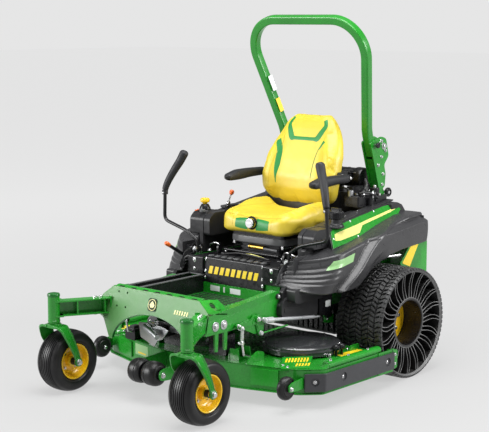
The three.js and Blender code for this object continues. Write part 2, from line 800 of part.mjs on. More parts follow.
function deckLiftLever() {
  const arm = rod([-388, 20, 620], [-388, -152, 718], 10, 10);
  const foot = rod([-381, 20, 620], [-396, 20, 620], 17, 14);
  return join(arm, foot);
}

// ---------------------------------------------------------------- the machine
const COLOURS = {
  greenPaint: [0x1f7a2c, 0.4, 0.2],
  palePaint: [0x9cc79a, 0.45, 0.2],
  yellowPaint: [0xf2b705, 0.4, 0.1],
  blackPlastic: [0x232426, 0.6, 0],
  greyPlastic: [0x54565a, 0.6, 0],
  rubber: [0x17181a, 0.85, 0],
  seatVinyl: [0xf3cf2a, 0.5, 0],
  steel: [0xb4b7ba, 0.35, 0.9],
  castMetal: [0x3a3c3f, 0.6, 0.5],
  orange: [0xe06010, 0.5, 0],
};

const machine = new THREE.Group();

function add(name, body, colour) {
  const { points, triangles } = meshData(body);
  const g = new THREE.BufferGeometry();
  g.setAttribute("position", new THREE.BufferAttribute(points, 3));
  g.setIndex(new THREE.BufferAttribute(triangles, 1));
  g.computeVertexNormals();
  const [color, roughness, metalness] = COLOURS[colour];
  const mesh = new THREE.Mesh(g, new THREE.MeshStandardMaterial({ color, roughness, metalness }));
  mesh.name = name;
  machine.add(mesh);
}

function addPair(name, body, colour) {
  add(name + "_left", body, colour);
  add(name + "_right", mirrored(body), colour);
}

addPair("frame_rail", frameRail(), "greenPaint");
add("rear_crossmember", rearCrossmember(), "greenPaint");
add("front_cross_plate", frontCrossPlate(), "palePaint");
addPair("caster_arm", casterArm(), "greenPaint");
add("floor_pan", floorPan(), "blackPlastic");
addPair("fender", fender(), "blackPlastic");
add("console_left", sideConsole(813), "blackPlastic");
add("console_right", mirrored(sideConsole(870)), "blackPlastic");
add("rear_bumper", rearBumper(), "greenPaint");
add("engine_block", engineBlock(), "castMetal");
add("engine_shroud", engineShroud(), "blackPlastic");
add("engine_fan", engineFan(), "castMetal");
add("air_cleaner", airCleaner(), "blackPlastic");
addPair("transaxle", transaxle(), "castMetal");
addPair("rops_post", ropsPost(), "greenPaint");
add("rops_hoop", ropsHoop(), "greenPaint");
addPair("caster_fork", casterFork(), "greenPaint");
addPair("caster_rim", casterRim(), "yellowPaint");
addPair("caster_tyre", casterTyre(), "rubber");
addPair("rear_tyre", rearTyre(), "rubber");
addPair("rear_rim", rearRim(), "yellowPaint");
add("seat_base", seatBase(), "greyPlastic");
add("seat_cushion", seatCushion(), "seatVinyl");
add("seat_back", seatBack(), "seatVinyl");
addPair("armrest", armrest(), "blackPlastic");
add("suspension_knob", suspensionKnob(), "steel");
addPair("lever_pivot", leverPivot(), "castMetal");
addPair("lever", lever(), "blackPlastic");
addPair("lever_grip", leverGrip(), "blackPlastic");
add("deck_shell", deckShell(), "greenPaint");
addPair("belt_cover", beltCover(), "blackPlastic");
addPair("side_bumper", sideBumper(), "blackPlastic");
add("spindle_centre", spindle(SPINDLES.centre, 0), "steel");
addPair("spindle", spindle(SPINDLES.side, Math.PI / 2), "steel");
add("centre_roller", centreRoller(), "rubber");
addPair("corner_wheel", cornerWheel(), "rubber");
addPair("lift_bellcrank", liftBellcrank(), "greenPaint");
add("pto_knob", ptoKnob(), "yellowPaint");
add("fuel_cap", fuelCap(), "blackPlastic");
add("throttle_lever", throttleLever(), "orange");
add("deck_lift_lever", deckLiftLever(), "orange");

export default machine;
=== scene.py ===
"""Zero turn mower: the looks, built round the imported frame.

Shapes are in millimetres until they become pieces.
"""

import math
import random

import bmesh
import bpy
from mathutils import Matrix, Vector
from mathutils.bvhtree import BVHTree


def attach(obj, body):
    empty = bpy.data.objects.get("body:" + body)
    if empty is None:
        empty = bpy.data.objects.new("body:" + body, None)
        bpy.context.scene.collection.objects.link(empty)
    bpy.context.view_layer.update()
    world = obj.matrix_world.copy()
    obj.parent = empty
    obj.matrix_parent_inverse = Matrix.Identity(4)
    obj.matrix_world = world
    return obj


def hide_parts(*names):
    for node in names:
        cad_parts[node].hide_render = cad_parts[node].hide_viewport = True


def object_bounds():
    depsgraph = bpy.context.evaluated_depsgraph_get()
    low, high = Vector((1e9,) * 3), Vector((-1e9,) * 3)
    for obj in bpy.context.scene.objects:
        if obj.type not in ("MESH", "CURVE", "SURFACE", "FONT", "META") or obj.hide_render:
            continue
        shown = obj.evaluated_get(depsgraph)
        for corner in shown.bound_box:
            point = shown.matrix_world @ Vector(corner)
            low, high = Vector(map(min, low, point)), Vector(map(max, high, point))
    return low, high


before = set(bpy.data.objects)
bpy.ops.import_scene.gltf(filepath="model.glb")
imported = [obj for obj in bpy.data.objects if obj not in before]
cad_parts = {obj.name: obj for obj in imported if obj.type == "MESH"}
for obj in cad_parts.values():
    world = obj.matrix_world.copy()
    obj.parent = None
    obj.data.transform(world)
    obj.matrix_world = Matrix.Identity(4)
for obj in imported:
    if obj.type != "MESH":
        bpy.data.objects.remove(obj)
CAD_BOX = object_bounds()

MM = 0.001
TURN = 2 * math.pi
SIDES = (("left", 1), ("right", -1))

# ---------------------------------------------------------------- shared dimensions, as in the frame
AXLE_Y, AXLE_Z = 595, 305
TYRE_IN, TYRE_OUT = 463, 766
CASTER_X, CASTER_R, CASTER_RIM = 479, 165, 92.5
CASTER_Y = -813
KINGPIN_Y = -900
ROLLER_AT = (0, -695, 157)
CORNER_WHEEL_AT = (670, -384, 126)
RAIL_IN, RAIL_OUT = 332, 380
ROPS_X, ROPS_Y, ROPS_Z, ROPS_LEAN, ROPS_HALF = 305, 787, 1300, 0.329, 25
TILT = math.hypot(1, ROPS_LEAN)
ENGINE_Y = 805
ARCH_HALF, ARCH_FOOT, ARCH_RISE = 262, 296, 149
LEVER_AT = (334, 48, 667)
AIR_CLEANER_AT = (0, 862, 1042)
COVER_X, COVER_Y, COVER_R = 430, 40, 214
SPINDLES = ((0, -165), (500, 10), (-500, 10))
FILLER_AT = (440, 320, 0)
PULL_KNOB_AT = (-405, 190, 0)
WEIGHT_DIAL_AT = (0, 0, 838)
HEIGHT_DIAL_AT = (0, 40, 596)

# ---------------------------------------------------------------- camera, floor and light values
CAMERA_AT = (4.867, -5.529, 1.966)
CAMERA_DOWN, CAMERA_ROUND = 8.3, 41.0
CAMERA_LENS, CAMERA_SENSOR = 100.5, 36
FLOOR_GLOW = (0.0, 8.0, 0.53, 0.73)  # from and to this far out in metres, from this glow to this one
FLOOR_HALF = 60000
SURROUND_LIGHT, BACKDROP = 0.26, 0.79
SOFTBOXES = (("front_softbox", (-5.2, -6.2, 2.9), (4.2, 3.4), 620),
             ("side_softbox", (6.0, 3.2, 3.2), (3.4, 2.4), 400),
             ("top_softbox", (0.8, -0.6, 5.2), (4.0, 4.0), 400))
LIGHTS_TARGET = Vector((0, 0, 0.7))


# ---------------------------------------------------------------- materials
def socket(node, name, value):
    node.inputs[name].default_value = value


def tinted(colour, factor):
    return tuple(min(1, c * factor) for c in colour[:3]) + (1,)


def material(name, colour, rough, metal=0.0, grain=(600, 0.1), blotch=0.12, edge_wear_and_highlight=0.0, coat=0.0, spec=0.5,
             stretch=(1, 1, 1), dust=0.0):
    """A painted, moulded or cast surface: blotchy colour, uneven gloss, fine grain, and convex edges made
    lighter, partly as wear and partly as a painted highlight.
    """
    mat = bpy.data.materials.new(name)
    mat.use_nodes = True
    nodes, links = mat.node_tree.nodes, mat.node_tree.links
    shader = nodes["Principled BSDF"]
    socket(shader, "Metallic", metal)
    socket(shader, "Specular IOR Level", spec)
    socket(shader, "Coat Weight", coat)
    socket(shader, "Coat Roughness", 0.12)
    place = nodes.new("ShaderNodeTexCoord")
    mapping = nodes.new("ShaderNodeMapping")
    mapping.inputs["Scale"].default_value = stretch
    links.new(place.outputs["Object"], mapping.inputs["Vector"])

    def noise(scale, detail):
        node = nodes.new("ShaderNodeTexNoise")
        socket(node, "Scale", scale)
        socket(node, "Detail", detail)
        links.new(mapping.outputs["Vector"], node.inputs["Vector"])
        return node.outputs["Fac"]

    def spread(source, low, high, start=0.3, end=0.7):
        node = nodes.new("ShaderNodeMapRange")
        for key, value in zip(("From Min", "From Max", "To Min", "To Max"), (start, end, low, high)):
            socket(node, key, value)
        links.new(source, node.inputs["Value"])
        return node.outputs["Result"]

    def mixed(factor, a, b):
        node = nodes.new("ShaderNodeMix")
        node.data_type = "RGBA"
        links.new(factor, node.inputs["Factor"])
        for key, value in ((6, a), (7, b)):
            if isinstance(value, tuple):
                node.inputs[key].default_value = value
            else:
                links.new(value, node.inputs[key])
        return node.outputs[2]

    base = mixed(spread(noise(7, 4), 0, 1), tinted(colour, 1 - blotch), tinted(colour, 1 + blotch))
    base = mixed(spread(noise(90, 3), 0, 0.5 * blotch, 0.45, 0.75), base, tinted(colour, 0.5))
    if dust:
        base = mixed(spread(noise(16, 6), 0, dust, 0.45, 0.8), base, (0.3, 0.28, 0.24, 1))
    # Convex edges are lightened by pointiness: partly edge wear, partly a painted highlight along the edges.
    if edge_wear_and_highlight:
        edges = nodes.new("ShaderNodeNewGeometry")
        base = mixed(spread(edges.outputs["Pointiness"], 0, edge_wear_and_highlight, 0.53, 0.6), base, tinted(colour, 2.2))
    links.new(base, shader.inputs["Base Color"])
    links.new(spread(noise(40, 5), rough - 0.05, rough + 0.08), shader.inputs["Roughness"])
    bump = nodes.new("ShaderNodeBump")
    socket(bump, "Strength", grain[1])
    socket(bump, "Distance", 0.0006)
    links.new(noise(grain[0], 3), bump.inputs["Height"])
    links.new(bump.outputs["Normal"], shader.inputs["Normal"])
    return mat


GREEN = material("green_powder_coat", (0.010, 0.20, 0.013), 0.26, coat=0.3, spec=0.42, grain=(260, 0.10),
                 edge_wear_and_highlight=0.3)
# Painted shade: the green coat darkened for parts that sit in shade, such as the arch rim, the kingpin caps
# and the cross members under the seat and floor.
SHADE_PAINTED_GREEN = material("green_shaded_coat", (0.004, 0.105, 0.011), 0.3, coat=0.2, spec=0.4, grain=(260, 0.10),
                      edge_wear_and_highlight=0.2)
# Painted sheen: the same green coat made paler to stand for the front light's reflection on the front plate.
SHEEN_PAINTED_GREEN = material("green_coat_painted_sheen", (0.066, 0.205, 0.054), 0.32, coat=0.1, spec=0.26, grain=(260, 0.10),
                      edge_wear_and_highlight=0.2)
YELLOW = material("yellow_enamel", (0.86, 0.50, 0.008), 0.26, coat=0.4, grain=(220, 0.12), edge_wear_and_highlight=0.15)
CHARCOAL = material("moulded_charcoal", (0.020, 0.020, 0.0215), 0.33, spec=0.36, grain=(1500, 0.3), edge_wear_and_highlight=0.4)
BLACK = material("black_powder_coat", (0.006, 0.006, 0.007), 0.28, spec=0.38, grain=(700, 0.25), edge_wear_and_highlight=0.4)
GREY = material("moulded_grey", (0.085, 0.087, 0.09), 0.42, grain=(1300, 0.35), edge_wear_and_highlight=0.2)
BUMPER_GREY = material("bumper_polymer", (0.034, 0.035, 0.039), 0.42, grain=(1100, 0.4), edge_wear_and_highlight=0.25)
RUBBER = material("tyre_rubber", (0.019, 0.019, 0.0195), 0.46, grain=(420, 0.5), blotch=0.25, edge_wear_and_highlight=0.7,
                  dust=0.06)
SIDEWALL = material("tyre_sidewall", (0.007, 0.007, 0.0075), 0.36, spec=0.32, grain=(500, 0.35), blotch=0.2,
                    edge_wear_and_highlight=0.25, dust=0.03)
SPOKE = material("spoke_polymer", (0.012, 0.012, 0.012), 0.42, grain=(300, 0.3), blotch=0.2)
# Painted highlight: a light grey for the spokes' outer edges and the tyre's lip and rim line, standing for
# light caught on those black edges.
PAINTED_HIGHLIGHT_GREY = material("spoke_edge_painted_highlight", (0.17, 0.17, 0.17), 0.4, grain=(300, 0.3), blotch=0.3)
FENDER_GREY = material("fender_moulding", (0.033, 0.033, 0.035), 0.3, spec=0.5, grain=(1500, 0.3), edge_wear_and_highlight=0.4)
SILVER = material("bright_rod", (0.50, 0.51, 0.53), 0.32, metal=0.35, grain=(900, 0.15), blotch=0.08)
COVER_BLACK = material("belt_cover_moulding", (0.028, 0.029, 0.031), 0.2, spec=0.6, coat=0.5,
                       grain=(1500, 0.2), edge_wear_and_highlight=0.3)
SOFT_BLACK = material("soft_touch_foam", (0.012, 0.012, 0.014), 0.5, spec=0.4, grain=(900, 0.6), edge_wear_and_highlight=0.3)
STEEL = material("zinc_plate", (0.62, 0.62, 0.63), 0.26, metal=1, grain=(500, 0.15), blotch=0.15)
CAST = material("black_cast_metal", (0.03, 0.03, 0.032), 0.45, metal=0.5, grain=(450, 0.8), edge_wear_and_highlight=0.35)
ALLOY = material("cast_alloy", (0.42, 0.43, 0.44), 0.4, metal=1, grain=(380, 0.6), edge_wear_and_highlight=0.2)
BRASS = material("brass_passivate", (0.55, 0.36, 0.07), 0.3, metal=0.9, grain=(400, 0.2))
ORANGE = material("orange_moulding", (0.72, 0.12, 0.012), 0.3, grain=(700, 0.2), coat=0.2)
KNOB_YELLOW = material("yellow_moulding", (0.83, 0.52, 0.01), 0.3, grain=(700, 0.2), coat=0.2)
DECAL_YELLOW = material("decal_yellow", (0.84, 0.60, 0.02), 0.3, grain=(900, 0.08), blotch=0.05, coat=0.3)
DECAL_PALE = material("decal_pale_green", (0.26, 0.48, 0.20), 0.32, grain=(900, 0.08), blotch=0.05, coat=0.3)
DECAL_CREAM = material("decal_cream", (0.62, 0.60, 0.18), 0.32, grain=(900, 0.08), blotch=0.05, coat=0.3)
DECAL_WHITE = material("decal_white", (0.68, 0.70, 0.70), 0.35, grain=(900, 0.08), blotch=0.05)
VINYL = material("seat_vinyl_yellow", (0.60, 0.455, 0.032), 0.38, grain=(1400, 0.35), blotch=0.06, spec=0.55)
VINYL_GREEN = material("seat_vinyl_green", (0.015, 0.20, 0.04), 0.4, grain=(1400, 0.35), blotch=0.1, spec=0.4)
THREAD = material("seat_thread", (0.50, 0.34, 0.02), 0.6, grain=(2500, 0.8), blotch=0.2)
HOSE = material("rubber_hose", (0.015, 0.015, 0.016), 0.45, grain=(1200, 0.5), blotch=0.2, edge_wear_and_highlight=0.2)
BADGE = material("badge_face", (0.006, 0.022, 0.007), 0.5, grain=(500, 0.3), spec=0.2)


# ---------------------------------------------------------------- shapes, as (points, faces)
def prism(outline, axis, low, high):
    """A closed outline run along an axis: (y, z) for x, (x, z) for y and (x, y) for z."""
    place = {"x": lambda a, b, w: (w, a, b), "y": lambda a, b, w: (a, w, b), "z": lambda a, b,
             w: (a, b, w)}[axis]
    n = len(outline)
    points = [place(a, b, w) for w in (low, high) for a, b in outline]
    faces = [tuple(range(n)), tuple(range(2 * n - 1, n - 1, -1))]
    faces += [(i, (i + 1) % n, n + (i + 1) % n, n + i) for i in range(n)]
    return points, faces


def block(low, high):
    return prism([(low[0], low[1]), (high[0], low[1]), (high[0], high[1]), (low[0], high[1])], "z", low[2],
                 high[2])


def rounded(outline, radius, steps=4):
    """The outline with each corner cut by an arc-like curve of about that radius."""
    result = []
    n = len(outline)
    for i, corner in enumerate(outline):
        here = Vector(corner[:2])
        before = Vector(outline[i - 1][:2]) - here
        after = Vector(outline[(i + 1) % n][:2]) - here
        r = corner[2] if len(corner) > 2 else radius
        d = min(r, before.length * 0.48, after.length * 0.48)
        a, b = here + before.normalized() * d, here + after.normalized() * d
        for k in range(steps + 1):
            t = k / steps
            p = a * (1 - t) ** 2 + here * 2 * t * (1 - t) + b * t * t
            result.append((p.x, p.y))
    return result


def rectangle(a0, b0, a1, b1):
    return [(a0, b0), (a1, b0), (a1, b1), (a0, b1)]


def plate(outline, radius, axis, low, high, steps=4):
    return prism(rounded(outline, radius, steps), axis, low, high)


def pad(corners, radius, axis, low, high, steps=4):
    """A rectangular plate between two corners (a0, b0, a1, b1), with its own corners rounded."""
    return plate(rectangle(*corners), radius, axis, low, high, steps)


def skinned(rings, closed=False, capped=True):
    """Rings of points joined in order; closed joins the last ring to the first."""
    n = len(rings[0])
    points = [p for ring in rings for p in ring]
    faces = []
    for k in range(len(rings) if closed else len(rings) - 1):
        a, b = k * n, (k + 1) % len(rings) * n
        faces += [(a + i, a + (i + 1) % n, b + (i + 1) % n, b + i) for i in range(n)]
    if capped and not closed:
        faces += [tuple(range(n)), tuple(range(len(points) - 1, len(points) - n - 1, -1))]
    return points, faces


def lathe(profile, centre, axis="x", sides=64, start=0.0):
    """A closed (radius, along) profile turned about an axis through centre."""
    rings = []
    for k in range(sides):
        c, s = math.cos(start + TURN * k / sides), math.sin(start + TURN * k / sides)
        ring = []
        for r, along in profile:
            p = {"x": (along, r * c, r * s), "y": (r * c, along, r * s), "z": (r * c, r * s, along)}[axis]
            ring.append((p[0] + centre[0], p[1] + centre[1], p[2] + centre[2]))
        rings.append(ring)
    return skinned(rings, closed=True)


def disc(radius, low, high, centre, axis="x", sides=40, edge=0.0, hole=0.0):
    """A round slab with rounded rims, from low to high along the axis."""
    inner = max(hole, 0.05)
    profile = [(inner, low), (radius - edge, low), (radius - 0.3 * edge, low + 0.3 * edge),
               (radius, low + edge), (radius, high - edge), (radius - 0.3 * edge, high - 0.3 * edge),
               (radius - edge, high), (inner, high)]
    return lathe(profile, centre, axis, sides)


def frames_along(points, up):
    """Unit side and up vectors carried along a line of points without twist."""
    points = [Vector(p) for p in points]
    up = Vector(up)
    result = []
    for i, p in enumerate(points):
        ahead = (points[min(i + 1, len(points) - 1)] - points[max(i - 1, 0)]).normalized()
        up = (up - ahead * up.dot(ahead)).normalized()
        result.append((p, ahead.cross(up).normalized(), up.copy()))
    return result


def sweep(outline, points, up=(0, 0, 1), scale=None):
    """An outline of (side, up) points carried along a line; scale(t) changes its size."""
    rings = []
    for i, (p, side, lift) in enumerate(frames_along(points, up)):
        k = scale(i / (len(points) - 1)) if scale else 1
        rings.append([tuple(p + side * (a * k) + lift * (b * k)) for a, b in outline])
    return skinned(rings)


def circle(radius, sides=12):
    return [(radius * math.cos(TURN * i / sides), radius * math.sin(TURN * i / sides)) for i in range(sides)]


def bent(points, radius, steps=6):
    """A line through points with each inner corner rounded off."""
    at = [Vector(p) for p in points]
    result = [tuple(at[0])]
    for i in range(1, len(at) - 1):
        a, b = at[i - 1] - at[i], at[i + 1] - at[i]
        d = min(radius, a.length * 0.48, b.length * 0.48)
        start, end = at[i] + a.normalized() * d, at[i] + b.normalized() * d
        for k in range(steps + 1):
            t = k / steps
            result.append(tuple(start * (1 - t) ** 2 + at[i] * 2 * t * (1 - t) + end * t * t))
    return result + [tuple(at[-1])]


def spline(points, steps=6):
    """A smooth line through points."""
    at = [Vector(p) for p in points]
    at = [2 * at[0] - at[1]] + at + [2 * at[-1] - at[-2]]
    result = []
    for i in range(1, len(at) - 2):
        p0, p1, p2, p3 = at[i - 1], at[i], at[i + 1], at[i + 2]
        for k in range(steps):
            t = k / steps
            result.append(tuple(0.5 * (2 * p1 + (p2 - p0) * t + (2 * p0 - 5 * p1 + 4 * p2 - p3) * t * t
                                       + (3 * p1 - p0 - 3 * p2 + p3) * t ** 3)))
    return result + [tuple(at[-2])]


def tube(points, radius, sides=12, up=(0, 0, 1)):
    return sweep(circle(radius, sides), points, up)


def turned_to(shape, direction, at):
    """A shape made along +Z at the origin, turned to point along direction and moved."""
    turn = Vector((0, 0, 1)).rotation_difference(Vector(direction)).to_matrix()
    shift = Vector(at)
    return [tuple(turn @ Vector(p) + shift) for p in shape[0]], shape[1]


def mirrored_shape(shape):
    return [(-x, y, z) for x, y, z in shape[0]], [tuple(reversed(face)) for face in shape[1]]


def bolt(at, direction, across=17, high=9, washer=None):
    """A hexagon head on a washer, standing on the surface at that point."""
    r = across / 2 / math.cos(math.pi / 6)
    washer = washer or across * 0.68
    flat = [(washer, 0), (washer, 1.6), (washer - 0.6, 2.2), (0.05, 2.2), (0.05, -3), (washer * 0.6, -3)]
    rings = []
    for z, k in ((2.0, 1), (high - 1.2, 1), (high, 0.86)):
        rings.append([(a * k, b * k, z) for a, b in circle(r, 6)])
    return [turned_to(lathe(flat, (0, 0, 0), "z", 20), direction, at),
            turned_to(skinned(rings), direction, at)]


def dome_bolt(at, direction, radius=9, high=5):
    """A button head with a socket, on a thin flange."""
    profile = [(0.05, -3), (radius * 1.25, -3), (radius * 1.25, 1), (radius, 1.4), (radius * 0.8, high * 0.8),
               (radius * 0.5, high), (radius * 0.4, high), (radius * 0.36, high - 2.5), (0.05, high - 2.5)]
    return [turned_to(lathe(profile, (0, 0, 0), "z", 24), direction, at)]


def spring(start, end, radius, wire, turns):
    """A coil spring with its two end hooks."""
    a, b = Vector(start), Vector(end)
    along = (b - a).normalized()
    side = along.orthogonal().normalized()
    other = along.cross(side)
    n = int(turns * 12)
    points = [tuple(a - along * radius)]
    for i in range(n + 1):
        ang = TURN * i / 12
        points.append(tuple(a.lerp(b, i / n) + (side * math.cos(ang) + other * math.sin(ang)) * radius))
    points.append(tuple(b + along * radius))
    return tube(points, wire, 8, tuple(side))


class Form:
    """Shapes gathered into one piece, each with the number of its material."""

    def __init__(self):
        self.points, self.faces, self.paint = [], [], []

    def add(self, shape, paint=0):
        if isinstance(shape, list):
            for part in shape:
                self.add(part, paint)
            return self
        base = len(self.points)
        self.points += [tuple(p) for p in shape[0]]
        self.faces += [tuple(base + i for i in face) for face in shape[1]]
        self.paint += [paint] * len(shape[1])
        return self

    def shape(self):
        return self.points, self.faces

    def merge(self, other):
        base = len(self.points)
        self.points += other.points
        self.faces += [tuple(base + i for i in face) for face in other.faces]
        self.paint += other.paint
        return self

    def sided(self, k):
        """This form on the left (k = 1) or mirrored to the right (k = -1)."""
        if k > 0:
            return self
        other = Form()
        other.points = [(-x, y, z) for x, y, z in self.points]
        other.faces = [tuple(reversed(face)) for face in self.faces]
        other.paint = list(self.paint)
        return other


def mesh_of(name, form):
    mesh = bpy.data.meshes.new(name)
    mesh.from_pydata([(x * MM, y * MM, z * MM) for x, y, z in form.points], [], form.faces)
    mesh.polygons.foreach_set("material_index", form.paint)
    bm = bmesh.new()
    bm.from_mesh(mesh)
    bmesh.ops.remove_doubles(bm, verts=bm.verts, dist=1e-6)
    bmesh.ops.recalc_face_normals(bm, faces=bm.faces)
    bm.to_mesh(mesh)
    bm.free()
    return mesh


def applied(obj):
    """The object's mesh with its modifiers worked in."""
    bpy.context.view_layer.update()
    depsgraph = bpy.context.evaluated_depsgraph_get()
    mesh = bpy.data.meshes.new_from_object(obj.evaluated_get(depsgraph))
    obj.modifiers.clear()
    obj.data = mesh
    return obj


def carved(obj, cutters):
    """The object with the cutters' shapes taken out of it."""
    form = Form().add(cutters)
    tool = bpy.data.objects.new("cutter", mesh_of("cutter", form))
    bpy.context.collection.objects.link(tool)
    mod = obj.modifiers.new("cut", "BOOLEAN")
    mod.object = tool
    mod.solver = "EXACT"
    mod.use_self = True
    applied(obj)
    bpy.data.objects.remove(tool)
    return obj


def dressed(obj, body, stands_for=(), angle=38, weighted=True):
    """Smooth shading between flat sides, and the piece's body and CAD nodes."""
    obj.data.shade_smooth()
    obj.data.set_sharp_from_angle(angle=math.radians(angle))
    if weighted:
        mod = obj.modifiers.new("normals", "WEIGHTED_NORMAL")
        mod.keep_sharp = True
    if stands_for:
        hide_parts(*stands_for)
    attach(obj, body)
    return obj


def piece(name, form, body, paints, stands_for=(), bevel=0.0, steps=2, cut=None, angle=38):
    obj = bpy.data.objects.new(name, mesh_of(name, form))
    for paint in paints:
        obj.data.materials.append(paint)
    bpy.context.collection.objects.link(obj)
    if cut:
        carved(obj, cut)
    if bevel:
        mod = obj.modifiers.new("edges", "BEVEL")
        mod.width = bevel * MM
        mod.segments = steps
        mod.limit_method = "ANGLE"
        mod.angle_limit = math.radians(40)
        applied(obj)
    return dressed(obj, body, stands_for, angle)


def smoothstep(low, high, x):
    t = min(1.0, max(0.0, (x - low) / (high - low)))
    return t * t * (3 - 2 * t)


def along(table, x):
    """A value read from a short table of (x, value) steps, straight between them."""
    if x <= table[0][0]:
        return table[0][1]
    for (x0, v0), (x1, v1) in zip(table, table[1:]):
        if x <= x1:
            return v0 + (v1 - v0) * (x - x0) / (x1 - x0)
    return table[-1][1]


# ---------------------------------------------------------------- camera, floor and lights
def floor_paint():
    """A pale floor whose own glow rises away from the machine, so that it has no horizon line."""
    mat = bpy.data.materials.new("studio_floor")
    mat.use_nodes = True
    nodes, links = mat.node_tree.nodes, mat.node_tree.links
    shader = nodes["Principled BSDF"]
    socket(shader, "Base Color", (0.13, 0.13, 0.13, 1))
    socket(shader, "Roughness", 0.8)
    socket(shader, "Specular IOR Level", 0.05)
    socket(shader, "Emission Color", (1, 1, 1, 1))
    place = nodes.new("ShaderNodeTexCoord")
    length = nodes.new("ShaderNodeVectorMath")
    length.operation = "LENGTH"
    rise = nodes.new("ShaderNodeMapRange")
    rise.interpolation_type = "SMOOTHSTEP"
    for key, value in zip(("From Min", "From Max", "To Min", "To Max"), FLOOR_GLOW):
        socket(rise, key, value)
    links.new(place.outputs["Object"], length.inputs[0])
    links.new(length.outputs["Value"], rise.inputs["Value"])
    links.new(rise.outputs["Result"], shader.inputs["Emission Strength"])
    return mat


def stage():
    scene = bpy.context.scene
    camera = bpy.data.objects.new("camera", bpy.data.cameras.new("camera"))
    camera.data.sensor_width = CAMERA_SENSOR
    camera.data.sensor_fit = "HORIZONTAL"
    camera.data.lens = CAMERA_LENS
    camera.data.clip_end = 200
    camera.location = CAMERA_AT
    camera.rotation_euler = (math.radians(90 - CAMERA_DOWN), 0, math.radians(CAMERA_ROUND))
    scene.collection.objects.link(camera)
    scene.camera = camera
    scene.view_settings.view_transform = "Standard"

    corners = [(x, y, 0) for x, y in rectangle(-FLOOR_HALF, -FLOOR_HALF, FLOOR_HALF, FLOOR_HALF)]
    floor = Form().add((corners, [(0, 1, 2, 3)]))
    ground = bpy.data.objects.new("floor", mesh_of("floor", floor))
    ground.location.z = CAD_BOX[0][2] - 0.0005
    ground.data.materials.append(floor_paint())
    scene.collection.objects.link(ground)

    world = bpy.data.worlds.new("studio")
    scene.world = world
    world.use_nodes = True
    nodes, links = world.node_tree.nodes, world.node_tree.links
    surround = nodes["Background"]
    socket(surround, "Color", (1, 1, 1, 1))
    socket(surround, "Strength", SURROUND_LIGHT)
    seen = nodes.new("ShaderNodeBackground")
    socket(seen, "Color", (BACKDROP, BACKDROP, BACKDROP, 1))
    socket(seen, "Strength", 1.0)
    path = nodes.new("ShaderNodeLightPath")
    mix = nodes.new("ShaderNodeMixShader")
    links.new(path.outputs["Is Camera Ray"], mix.inputs["Fac"])
    links.new(surround.outputs["Background"], mix.inputs[1])
    links.new(seen.outputs["Background"], mix.inputs[2])
    links.new(mix.outputs["Shader"], nodes["World Output"].inputs["Surface"])

    for name, at, size, power in SOFTBOXES:
        light = bpy.data.objects.new(name, bpy.data.lights.new(name, "AREA"))
        light.data.shape = "RECTANGLE"
        light.data.size, light.data.size_y = size
        light.data.energy = power
        light.location = at
        light.rotation_euler = (LIGHTS_TARGET - Vector(at)).to_track_quat("-Z", "Y").to_euler()
        scene.collection.objects.link(light)


# ---------------------------------------------------------------- drive wheels
def tread_block(form, x0, x1, a0, a1, slant, rng):
    """One four-sided tread block between two angles, with sloping walls and a little unevenness."""
    rings = []
    for radius, inset in ((289, 0.0), (302.0, 1.4), (304.6, 3.4)):
        ring = []
        for x, a in ((x0 + inset, a0), (x1 - inset, a0), (x1 - inset, a1), (x0 + inset, a1)):
            middle = (a0 + a1) / 2
            ang = middle + (a - middle) * (1 - inset / 14)
            ang += slant * (x - (x0 + x1) / 2)
            ring.append((x, radius * math.cos(ang), radius * math.sin(ang)))
        rings.append(ring)
    wobble = [(rng.uniform(-3.2, 3.2), rng.uniform(-0.010, 0.010)) for _ in range(4)]
    for ring in rings:
        for i, (dx, da) in enumerate(wobble):
            x, y, z = ring[i]
            c, s = math.cos(da), math.sin(da)
            ring[i] = (x + dx, y * c - z * s, y * s + z * c)
    form.add(skinned([list(ring) for ring in rings]))


